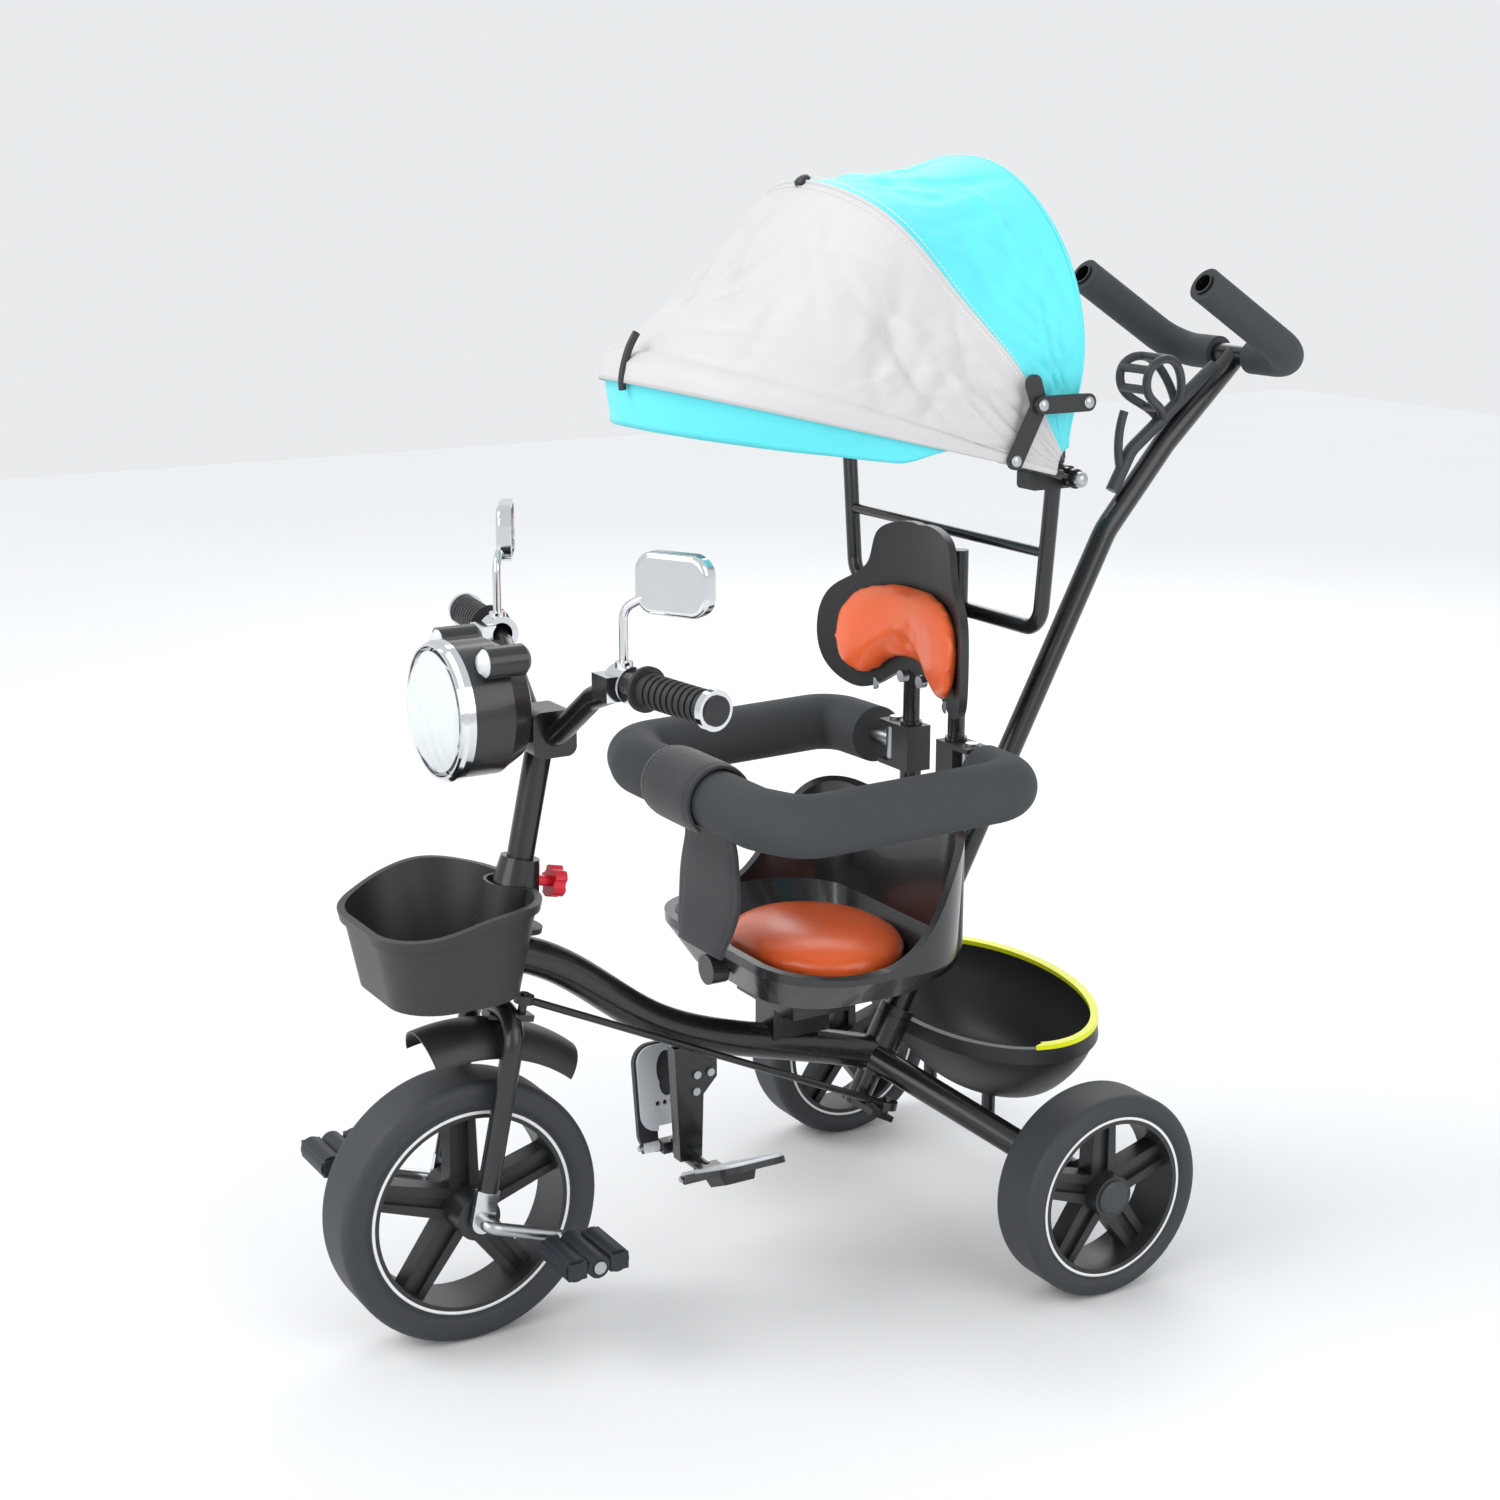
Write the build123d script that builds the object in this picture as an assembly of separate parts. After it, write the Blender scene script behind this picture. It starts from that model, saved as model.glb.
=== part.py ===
from build123d import *
import math
import os

# Children's push tricycle, in millimetres: +Z is up and the front wheel points to -Y.
# Every point is laid out from the rear axle line (y = 0). save() then shifts the whole
# tricycle along Y, so that the origin lies on the floor under the middle of its length.

# ---------------------------------------------------------------- driving dimensions
WHEELBASE = 564
TRACK = 460
FRONT_WHEEL_R = 127
REAR_WHEEL_R = 101.5
FRONT_TYRE_W = 62
REAR_TYRE_W = 58
FRONT_TYRE_H = 28
REAR_TYRE_H = 21
TYRE_SHOULDER = 12
SEAM_TURN = 18          # keeps the join line of a tyre away from that of its rim
RIM_WALL = 7
RIM_INSET = 8
HUB_R = 21
HUB_CAP_R = 17
CAP_T = 4
NUT_R = 9
NUT_T = 9
SPOKES = 5
SPOKE_W = 30
SPOKE_T = 20
SPOKE_GROOVE = 5

HEAD_RAKE = 12
STEERER_R = 12.5
HEAD_TUBE_R = 20
HEAD_TUBE_LOW = 212
HEAD_TUBE_H = 68
BUSH_LIP = 4
CROWN_S = 192
FORK_HALF = 48
FORK_TUBE_R = 10
FORK_BEND = 30
TIP_T = 6
TIP_W = 22
TIP_TOP = 30
COLLAR_H = 47
COLLAR_R_LOW = 25
COLLAR_R_TOP = 18
COLLAR_HALFWAY = 27
STEM_TOP = 428
KNOB_R = 15
KNOB_T = 12

BEAM_R = 17.5
TUBE_WALL = 2
LEG_R = 14
AXLE_R = 6
AXLE_TUBE_R = 11
LUG_R = 15
LUG_W = 26

HANDLE_TUBE_R = 12
HANDLE_LEAN = 27.7
HANDLE_FOOT = (-112, 165)
SLEEVE_R = 18
SLEEVE_H = 62
CRANK_T = 6
CRANK_LOW = 36
LINK_ARM = (35, 10)
LINK_LEAN = (0.0216, 0.0061)
LINK_RISE = 16
LINK_R = 3.6
LINK_PIN_R = 4
LINK_OPEN_GAP = 2.2
HORN_HALF = 94
HORN_R = 11
FOAM_GRIP_R = 17.5

CRANK_LENGTH = 77
CRANK_ANGLE = -19
CRANK_X = 64
CRANK_BEND = 9
SPINDLE_R = AXLE_R
KNOB_SCREW_R = 5
SPINDLE_END = 141
PEDAL_W = 60
PEDAL_X = 108
PEDAL_LOBE = 21

MUDGUARD_R = 179
MUDGUARD_HALF = 35
MUDGUARD_SAG = 26
MUDGUARD_T = 2.5
MUDGUARD_START = 49
MUDGUARD_ARC = 54

BAR_R = 10.5
GRIP_R = 15
GRIP_LENGTH = 84
LAMP_Z = 596
LAMP_R = 61
LAMP_FRONT = -562
LAMP_BACK = -496
CLAMP_FRONT = -489
EAR_X = 70
EAR_R = 14
MIRROR_BASE = Vector(128, -453, 646)
MIRROR_HEAD = Vector(167, -425, 722)
MIRROR_TURN = 28

CAGE_BASE_R = 7
CAGE_R = 4.5
CAGE_BEND = 30
CAGE_BASE = [(174, 736), (196, 776), (302, 856)]
CAGE_LOOP = [(252, 818), (248, 846), (224, 868), (199, 858), (198, 838), (222, 818), (232, 803)]
CAGE_SPREAD = [0, 12, 20, 22, 20, 12, 0]
CAGE_PRONG = [(184, 756), (180, 784), (186, 816)]

SEAT_FRONT = -298
SEAT_BACK = -76
SEAT_HALF = 166
SEAT_FLOOR = 292
SEAT_TOP = 448
SEAT_WALL = 9
CUSHION = (102, 84)
CUSHION_Y = -183
CUSHION_T = 27
POST_X = 39
POST_Y = -41
POST_R = 8.5
SOCKET_R = 11
SOCKET_TOP = 515
RAIL_Z = 279
TIE_Y = -204
BACK_CURVE = 230
BACK_FACE_Y = -62
BACK_SHELL_T = 8
BACK_PAD_T = 21

GUARD_Z = 488
GUARD_FRONT = -312
GUARD_HALF = 162
GUARD_FOAM_R = 29
GUARD_CORE_R = 8
GUARD_SPLIT = 50
GUARD_PIVOT_X = 66
STRAP_HALF = 46
STRAP_T = 13

FRONT_BASKET_HALF = 106
FRONT_BASKET_FLOOR = 342
FRONT_BASKET_TOP = 450
REAR_BASKET = (165, 83)
REAR_BASKET_CENTRE = (19, 227)
REAR_BASKET_TILT = 9.6
REAR_BASKET_DEPTH = 92
BASKET_WALL = 3

CANOPY_PIVOT = (-30, 787)
CANOPY_PIN_R = 4
BOW_R = 4.5
BOW_HALF = 186
REAR_FOOT_X = 177
FRONT_FOOT_X = 198
REAR_BOW_ANGLE = 90
MID_BOW_ANGLE = 57.2
FRONT_BOW_ANGLE = 16.4
REAR_BOW_H = 272
MID_BOW_H = 300
FRONT_BOW_H = 357
SKIN_START = 0.035
SKIN_STEPS = 24
VISOR_START = 0.12
STAY_PIN_R = 2.5
STAY_W = 8
VISOR_ANGLE = 7.6
FABRIC_T = 2
CANOPY_FRAME_R = 7.5
FRAME_Y = -33
FABRIC_GAP = 2.4
STAY_X = 207
STAY_T = 4
STAY_OPEN_GAP = 2.8
STAY_FRONT_U = 78
STAY_REAR_U = 70
STAY_ELBOW = (-80, 857)
STAY_TIP = (-87, 876)

FOOT_PIVOT_X = 42
FOOT_PIVOT = (-321, 118)
FOOT_LENGTH = 104
FOOT_HALF = 34
FOOT_T = 9
FOOT_NOTCH = 13
FOOT_PIN_R = 3
FOOT_PAD_T = 3
LEFT_FOOT_TILT = 25
RIGHT_FOOT_TILT = 82

# Outlines and centre lines, as (y, z) seen from the side or half (x, z) from the front.
BEAM_LINE = [(-514, 364), (-460, 341), (-363, 270), (-241, 224), (-111, 186)]
LEG_TOP = (9, -112, 184)
HORN_BACK = (330, 866)
HORN_TIP = (200, 948)
HANDLE_KNEE = (240, 781)
HANDLE_STRAIGHT = 600
HANDLE_BEND = 70
SEAT_RIM_LINE = [(-330, 336), (-250, 333), (-175, 343), (-128, 398), (-98, 438), (-60, SEAT_TOP)]
FRONT_RIM_LINE = [(-690, 412), (-655, 413), (-620, 418), (-582, 429), (-545, 434), (-512, 431), (-480, 429)]
BACK_HALF = [(0, 571), (42, 563), (80, 546), (114, 562), (126, 602), (112, 645), (72, 676), (62, 706), (40, 718),
             (0, 720)]
PAD_HALF = [(0, 580), (40, 573), (76, 558), (100, 572), (109, 605), (94, 642), (52, 662), (0, 666)]
HANDLEBAR_HALF = [(243, -433, 631), (136, -451, 633), (84, -461, 612), (24, -468, 566)]

# ------------------------------------------------------------------------ clearances
RUN = 0.05          # running clearance of a shaft in its bore, on the radius
GAP = 0.6           # free space between pieces that move past each other
REST = 0.02         # hairline between pieces that only touch

# ---------------------------------------------------------------- derived frames
FRONT_AXLE = Vector(0, -WHEELBASE, FRONT_WHEEL_R)
SIN_RAKE = math.sin(math.radians(HEAD_RAKE))
COS_RAKE = math.cos(math.radians(HEAD_RAKE))
SIN_LEAN = math.sin(math.radians(HANDLE_LEAN))
COS_LEAN = math.cos(math.radians(HANDLE_LEAN))
# The head frame has its Z along the steering axis, which passes through the front axle.
HEAD = Plane(origin=FRONT_AXLE, x_dir=(1, 0, 0), z_dir=(0, SIN_RAKE, COS_RAKE))
# The handle frame has its Z along the straight lower length of the push handle.
HANDLE = Plane(origin=(0, *HANDLE_FOOT), x_dir=(1, 0, 0), z_dir=(0, SIN_LEAN, COS_LEAN))
HEAD_TUBE_TOP = HEAD_TUBE_LOW + HEAD_TUBE_H
COLLAR_LOW = HEAD_TUBE_TOP + BUSH_LIP + GAP
COLLAR_TOP = COLLAR_LOW + COLLAR_H
# Half of the overall length lies in front of the origin: from the front tyre to the horns.
ORIGIN_Y = (WHEELBASE + FRONT_WHEEL_R - HORN_BACK[0] - FOAM_GRIP_R) / 2
SIDES = {"left": 1, "right": -1}
SIDE_X = TRACK / 2
FRONT_SEAT_R = FRONT_WHEEL_R - FRONT_TYRE_H
REAR_SEAT_R = REAR_WHEEL_R - REAR_TYRE_H
REAR_HUB_W = REAR_TYRE_W - 6
FRONT_HUB_W = 2 * (FORK_HALF - TIP_T / 2 - GAP) - 6
LUG_X = SIDE_X - REAR_HUB_W / 2 - GAP - LUG_W
POCKET = NUT_T + CAP_T + 1
KNOB_S = COLLAR_LOW + COLLAR_H * 0.55
GRIP_END = Vector(*HANDLEBAR_HALF[0])
GRIP_DIR = (GRIP_END - Vector(*HANDLEBAR_HALF[1])).normalized()
# The link rod turns about a line that leans a little from the steering axis, so that its
# rear eye stays on the crank pin although the handle leans more than the steering head.
LINK_DIR = (Vector(0, SIN_RAKE, COS_RAKE) + Vector(1, 0, 0) * LINK_LEAN[0]
            + Vector(0, COS_RAKE, -SIN_RAKE) * LINK_LEAN[1]).normalized()


# ------------------------------------------------------------------------ helpers
def head_point(x, v, s):
    """A point given in the head frame, as a point of the tricycle."""
    return HEAD.from_local_coords(Vector(x, v, s))


def handle_point(x, v, t):
    """A point given in the handle frame, as a point of the tricycle."""
    return HANDLE.from_local_coords(Vector(x, v, t))


def rod(start, end, radius, bore=0):
    """A round bar or tube between two points."""
    start = Vector(start)
    span = Vector(end) - start
    bar = Solid.make_cylinder(radius, span.length, Plane(origin=start, z_dir=span))
    if bore:
        bar = bar - Solid.make_cylinder(bore, span.length, Plane(origin=start, z_dir=span))
    return bar


def pipe(path, radius, bore=0):
    """A round section carried along a path, hollow when a bore is given."""
    section = Circle(radius)
    if bore:
        section = section - Circle(bore)
    return sweep(Plane(origin=path @ 0, z_dir=path % 0) * section, path=path)


def bent(points, bend):
    """A path of straight runs with rounded bends."""
    return FilletPolyline(*points, radius=bend)


def block(x, y, z):
    """A box given by its limits along X, Y and Z."""
    sizes = [high - low for low, high in (x, y, z)]
    middle = [(high + low) / 2 for low, high in (x, y, z)]
    return Pos(*middle) * Box(*sizes)


def mirrored(shape):
    """The same piece on the other side of the tricycle."""
    return mirror(shape, about=Plane.YZ)


def pair(shape):
    """A left piece together with its right twin, as separate solids."""
    return Compound(children=[solid for half in (shape, mirrored(shape)) for solid in half.solids()])


def group(*shapes):
    """Several pieces of one kind in one node, as separate solids."""
    return Compound(children=[solid for shape in shapes for solid in shape.solids()])


def spun(points, centre):
    """A closed outline of (x, radius) points turned about the wheel axis through centre."""
    face = make_face(Polyline(*points, close=True))
    return Pos(*centre) * revolve(face, axis=Axis.X)


def turned(points, centre):
    """A closed outline of (radius, y) points turned about a fore-and-aft axis."""
    face = make_face(Polyline(*points, close=True))
    return Pos(*centre) * revolve(face, axis=Axis.Y)


def side_profile(top, floor):
    """The area below a smooth (y, z) line, carried right across the tricycle."""
    curve = Spline(*[(0, y, z) for y, z in top])
    start, end = top[0], top[-1]
    base = Polyline((0, *start), (0, start[0], floor), (0, end[0], floor), (0, *end))
    return extrude(make_face(curve + base), amount=SEAT_HALF * 2, both=True, dir=(1, 0, 0))


def save(name, shape):
    """Writes one piece, moved to the origin of the whole tricycle."""
    solids = shape.solids()
    piece = Compound(children=list(solids)) if len(solids) > 1 else solids[0]
    piece = Pos(0, ORIGIN_Y, 0) * piece
    piece.label = name
    export_step(piece, f"parts/{name}.step")


# ------------------------------------------------------------------------ wheels
def tyre(radius, width, height, centre):
    """A solid foam tyre with round shoulders, open to the rim inside."""
    face = Pos(0, radius - height / 2) * RectangleRounded(width, height, TYRE_SHOULDER - RIM_INSET / 4)
    seat = Pos(0, radius - height * 3 / 4) * Rectangle(width - RIM_INSET, height / 2)
    return Pos(*centre) * Rot(SEAM_TURN, 0, 0) * revolve(face + seat, axis=Axis.X)


def spoke(reach, groove_depth):
    """One broad spoke along +Z with a long groove on both faces."""
    outline = Polyline((0, -SPOKE_W / 2, HUB_R / 2), (0, -SPOKE_W * 0.42, reach), (0, SPOKE_W * 0.42, reach),
                       (0, SPOKE_W / 2, HUB_R / 2), close=True)
    bar = extrude(make_face(outline), amount=SPOKE_T / 2, both=True, dir=(1, 0, 0))
    groove = block((SPOKE_T / 2 - groove_depth, SPOKE_T), (-SPOKE_W / 6, SPOKE_W / 6), (HUB_R, reach))
    return bar - groove - mirrored(groove)


def rim(seat_radius, width, hub_width, bore, centre, pocket=0):
    """A moulded wheel: a rim ring, a hub and grooved spokes."""
    half = (width - RIM_INSET) / 2
    seat_radius -= REST
    ring = spun([(-half, seat_radius), (half, seat_radius), (half, seat_radius - RIM_WALL),
                 (-half, seat_radius - RIM_WALL)], (0, 0, 0))
    hub = Rot(0, 90, 0) * Cylinder(HUB_R, hub_width)
    wheel = ring + hub
    for turn in range(SPOKES):
        wheel += Rot(360 * turn / SPOKES, 0, 0) * spoke(seat_radius - RIM_WALL / 2, SPOKE_GROOVE)
    wheel -= Rot(0, 90, 0) * Cylinder(bore, hub_width)
    if pocket:
        wheel -= Pos(hub_width / 2 - pocket / 2, 0, 0) * Rot(0, 90, 0) * Cylinder(HUB_CAP_R - 3, pocket)
    return Pos(*centre) * wheel


def front_wheel():
    save("front_tyre", tyre(FRONT_WHEEL_R, FRONT_TYRE_W, FRONT_TYRE_H, FRONT_AXLE))
    save("front_rim", rim(FRONT_SEAT_R, FRONT_TYRE_W, FRONT_HUB_W, AXLE_R, FRONT_AXLE))


def rear_wheels():
    for side, sign in SIDES.items():
        centre = (sign * SIDE_X, 0, REAR_WHEEL_R)
        save(f"rear_tyre_{side}", tyre(REAR_WHEEL_R, REAR_TYRE_W, REAR_TYRE_H, centre))
        wheel = rim(REAR_SEAT_R, REAR_TYRE_W, REAR_HUB_W, AXLE_R + RUN, (SIDE_X, 0, REAR_WHEEL_R), POCKET)
        wheel = group(rear_hub_cap(), wheel)
        save(f"rear_rim_{side}", wheel if sign > 0 else group(mirrored(wheel)))


def rear_hub_cap():
    """A snap-on cap that covers the axle nut."""
    outer = SIDE_X + REAR_HUB_W / 2
    plate = spun([(0, 0), (0, HUB_CAP_R), (CAP_T / 2, HUB_CAP_R), (CAP_T, HUB_CAP_R - 3), (CAP_T, 0)], (0, 0, 0))
    skirt = spun([(0, HUB_CAP_R - 3 - REST), (-4, HUB_CAP_R - 3 - REST), (-4, HUB_CAP_R - 5),
                  (0, HUB_CAP_R - 5)], (0, 0, 0))
    return Pos(outer + REST, 0, REAR_WHEEL_R) * (plate + skirt)


def rear_axle():
    """A steel axle through the frame lugs and both rear hubs, with a nut at each end."""
    nut_face = SIDE_X + REAR_HUB_W / 2 - POCKET + GAP
    end = nut_face + NUT_T + 1
    save("rear_axle", rod((-end, 0, REAR_WHEEL_R), (end, 0, REAR_WHEEL_R), AXLE_R))
    nut = extrude(RegularPolygon(NUT_R, 6) - Circle(AXLE_R), amount=NUT_T)
    return pair(Pos(nut_face, 0, REAR_WHEEL_R) * Rot(0, 90, 0) * nut)


# ------------------------------------------------------------------------ main frame
def main_frame():
    """The welded frame: head tube, swept beam, two legs, axle tube and handle sleeve."""
    beam = pipe(Spline(*[(0, y, z) for y, z in BEAM_LINE]), BEAM_R)
    head = HEAD * Pos(0, 0, HEAD_TUBE_LOW + HEAD_TUBE_H / 2) * Cylinder(HEAD_TUBE_R, HEAD_TUBE_H)
    leg = rod(LEG_TOP, (LUG_X + LUG_W / 2, -LUG_R / 2, REAR_WHEEL_R + 2), LEG_R)
    lug = rod((LUG_X, 0, REAR_WHEEL_R), (LUG_X + LUG_W, 0, REAR_WHEEL_R), LUG_R)
    axle_tube = rod((-LUG_X, 0, REAR_WHEEL_R), (LUG_X, 0, REAR_WHEEL_R), AXLE_TUBE_R)
    sleeve = rod(handle_point(0, 0, 0), handle_point(0, 0, SLEEVE_H), SLEEVE_R)
    post = basket_post()
    frame = beam + head + leg + mirrored(leg) + lug + mirrored(lug) + axle_tube + sleeve
    frame += post + mirrored(post) + seat_saddle()
    frame -= rod((-SIDE_X, 0, REAR_WHEEL_R), (SIDE_X, 0, REAR_WHEEL_R), AXLE_R)
    frame -= rod(handle_point(0, 0, -SLEEVE_H), handle_point(0, 0, 2 * SLEEVE_H), HANDLE_TUBE_R + RUN)
    frame -= HEAD * Pos(0, 0, HEAD_TUBE_LOW + HEAD_TUBE_H / 2) * Cylinder(STEERER_R + BUSH_LIP, HEAD_TUBE_H)
    save("main_frame", frame)


def headset_bushes():
    """A plain flanged bush at each end of the head tube, which the steerer turns in."""
    low = rod((0, 0, -BUSH_LIP), (0, 0, 0), HEAD_TUBE_R, STEERER_R + RUN)
    body = rod((0, 0, 0), (0, 0, 20), STEERER_R + BUSH_LIP, STEERER_R + RUN)
    bush = low + body
    top = mirror(bush, about=Plane.XY)
    save("headset_bushes", group(HEAD * Pos(0, 0, HEAD_TUBE_LOW) * bush, HEAD * Pos(0, 0, HEAD_TUBE_TOP) * top))


# ------------------------------------------------------------------------ steering
def fork():
    """The fork: a bent tube over the wheel, the steerer, the link arm and its pin."""
    legs = bent([(FORK_HALF, 0, TIP_TOP), (FORK_HALF, 0, CROWN_S), (-FORK_HALF, 0, CROWN_S),
                 (-FORK_HALF, 0, TIP_TOP)], FORK_BEND)
    body = pipe(legs, FORK_TUBE_R)
    body += rod((0, 0, CROWN_S), (0, 0, COLLAR_TOP - COLLAR_HALFWAY), STEERER_R)
    body += block((-8, 8), (-8, 8), (MUDGUARD_R + REST, CROWN_S))
    arm_x, arm_v = LINK_ARM
    body += block((arm_x - 9, arm_x + 9), (0, arm_v + 9), (CROWN_S - 3, CROWN_S + 3))
    front = link_ends()[0]
    pin = rod(front - LINK_DIR * LINK_RISE, front + LINK_DIR * 6, LINK_PIN_R)
    save("fork", HEAD * body + pin)


def fork_tips():
    """Flattened plates below the fork tubes that carry the front axle."""
    plate = block((-TIP_T / 2, TIP_T / 2), (-TIP_W / 2, TIP_W / 2), (0, TIP_TOP))
    plate += Rot(0, 90, 0) * Cylinder(TIP_W / 2, TIP_T)
    plate -= Rot(0, 90, 0) * Cylinder(AXLE_R + RUN, TIP_T)
    save("fork_tips", HEAD * pair(Pos(FORK_HALF, 0, 0) * plate))


def crank_spindles():
    """The front axle: one rod bent into a crank and a pedal spindle on each side."""
    rise = Vector(0, CRANK_LENGTH * math.cos(math.radians(CRANK_ANGLE)),
                  CRANK_LENGTH * math.sin(math.radians(CRANK_ANGLE)))
    half = [FRONT_AXLE + rise + Vector(SPINDLE_END, 0, 0), FRONT_AXLE + rise + Vector(CRANK_X, 0, 0),
            FRONT_AXLE + Vector(CRANK_X, 0, 0)]
    other = [FRONT_AXLE * 2 - point for point in reversed(half)]
    save("front_axle_crank", pipe(bent(half + other, CRANK_BEND), AXLE_R))
    return rise


def pedals(rise):
    """Two-lobed pedals that turn on the spindles."""
    lobe = Pos(0, PEDAL_LOBE, 0) * Rot(0, 90, 0) * Cylinder(11, PEDAL_W - 6)
    tread = Pos(0, PEDAL_LOBE, 0) * Box(PEDAL_W, 18, 16)
    web = Box(14, 2 * PEDAL_LOBE, 9)
    body = Rot(0, 90, 0) * Cylinder(SPINDLE_R + 5, PEDAL_W) + lobe + tread
    body += mirror(lobe + tread, about=Plane.XZ) + Pos(PEDAL_W / 2 - 8, 0, 0) * web
    body += Pos(8 - PEDAL_W / 2, 0, 0) * web
    body -= Rot(0, 90, 0) * Cylinder(SPINDLE_R + RUN, PEDAL_W)
    for side, sign in SIDES.items():
        centre = FRONT_AXLE + rise * sign + Vector(sign * PEDAL_X, 0, 0)
        save(f"pedal_{side}", Pos(*centre) * body)


def mudguard():
    """A curved strip over the front tyre, fixed below the fork crown."""
    half = MUDGUARD_HALF
    outer = ThreePointArc((-half, MUDGUARD_R - MUDGUARD_SAG), (0, MUDGUARD_R), (half, MUDGUARD_R - MUDGUARD_SAG))
    inner = ThreePointArc((-half, MUDGUARD_R - MUDGUARD_SAG - MUDGUARD_T), (0, MUDGUARD_R - MUDGUARD_T),
                          (half, MUDGUARD_R - MUDGUARD_SAG - MUDGUARD_T))
    ends = Line(outer @ 0, inner @ 0) + Line(outer @ 1, inner @ 1)
    strip = revolve(make_face(outer + inner + ends), axis=Axis.X, revolution_arc=MUDGUARD_ARC)
    save("mudguard", Pos(*FRONT_AXLE) * Rot(MUDGUARD_START, 0, 0) * strip)


def steering_collar():
    """The tapered collar that clamps the handlebar stem to the steerer."""
    body = HEAD * Pos(0, 0, COLLAR_LOW + COLLAR_H / 2) * Cone(COLLAR_R_LOW, COLLAR_R_TOP, COLLAR_H)
    body -= rod(head_point(0, 0, 0), head_point(0, 0, STEM_TOP), STEERER_R)
    body -= rod(head_point(0, 0, KNOB_S), head_point(0, 3 * KNOB_R, KNOB_S), KNOB_SCREW_R + RUN)
    save("steering_collar", body)


def clamp_knob():
    """The red hand screw behind the collar."""
    face = COLLAR_R_LOW + 8
    body = rod((0, STEERER_R + GAP, 0), (0, face, 0), KNOB_SCREW_R)
    grip = rod((0, face, 0), (0, face + KNOB_T, 0), KNOB_R)
    for turn in range(5):
        grip -= Rot(0, 72 * turn, 0) * rod((KNOB_R + 3, face, 0), (KNOB_R + 3, face + KNOB_T, 0), 6)
    save("clamp_knob", HEAD * Pos(0, 0, KNOB_S) * (body + grip))


def handlebar_path():
    """The line of the handlebar: two level grips that dip to the stem."""
    return bent(HANDLEBAR_HALF + [(-x, y, z) for x, y, z in reversed(HANDLEBAR_HALF)], 22)


def handlebar():
    """The bar, and the stem with its clamp block and the arm that holds the headlight."""
    bar = pipe(handlebar_path(), BAR_R)
    save("handlebar", bar)
    stem = rod(head_point(0, 0, COLLAR_TOP - COLLAR_HALFWAY + REST), head_point(0, 0, STEM_TOP), STEERER_R)
    clamp = block((-21, 21), (CLAMP_FRONT, -446), (545, 588))
    clamp = fillet(clamp.edges().filter_by(Axis.X), 9)
    arm = block((-13, 13), (LAMP_BACK, CLAMP_FRONT + 12), (560, 580))
    save("stem", stem + clamp + arm - bar)


def grips():
    """Ribbed rubber grips with a bright ring and a closed cap at the outer end."""
    start = GRIP_END - GRIP_DIR * GRIP_LENGTH
    body = rod(start, GRIP_END, GRIP_R, BAR_R)
    for rib in range(9):
        place = start + GRIP_DIR * (10 + 8 * rib)
        body -= rod(place, place + GRIP_DIR * 3, GRIP_R + 1, GRIP_R - 1.6)
    body += rod(start - GRIP_DIR * 4, start, GRIP_R + 5, BAR_R)
    body += rod(GRIP_END, GRIP_END + GRIP_DIR * 9, GRIP_R - 2)
    ring = rod(GRIP_END + GRIP_DIR * REST, GRIP_END + GRIP_DIR * 7, GRIP_R + 2.5, GRIP_R - 2 + REST)
    save("handlebar_grips", pair(body))
    return ring


def bar_fittings(ring):
    """Bright clamps on the bar, each with a boss for a mirror stem, and the grip rings."""
    centre = Vector(128, -452.4, 632.5)
    half = GRIP_DIR * 11
    body = rod(centre - half, centre + half, BAR_R + 6)
    body += rod(centre, MIRROR_BASE + Vector(0, 0, 6), 8)
    body += block((112, 140), (-476, -462), (620, 642))
    body -= rod(centre - half * 2, centre + half * 2, BAR_R)
    body -= pipe(handlebar_path(), BAR_R)
    body -= rod(MIRROR_BASE, MIRROR_BASE + Vector(0, 0, 20), 4 + RUN)
    save("bar_fittings", group(pair(body), pair(ring)))


def mirrors():
    """Round-cornered mirrors on bent chrome stems, with the glass facing the rider."""
    stem = pipe(bent([MIRROR_BASE, MIRROR_BASE + Vector(0, 0, 52), MIRROR_HEAD + Vector(-6, -2, 0)], 16), 4)
    tilt = Pos(*MIRROR_HEAD) * Rot(0, 0, MIRROR_TURN)
    case = Rot(90, 0, 0) * extrude(RectangleRounded(74, 54, 18), amount=7, both=True)
    case = fillet(case.edges().filter_by(GeomType.LINE, reverse=True).group_by(Axis.Y)[0], 5)
    recess = Pos(0, 6.5, 0) * Rot(90, 0, 0) * extrude(RectangleRounded(66, 46, 14), amount=2, both=True)
    body = tilt * case + stem - tilt * recess
    for side, sign in SIDES.items():
        save(f"mirror_{side}", body if sign > 0 else mirrored(body))


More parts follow.
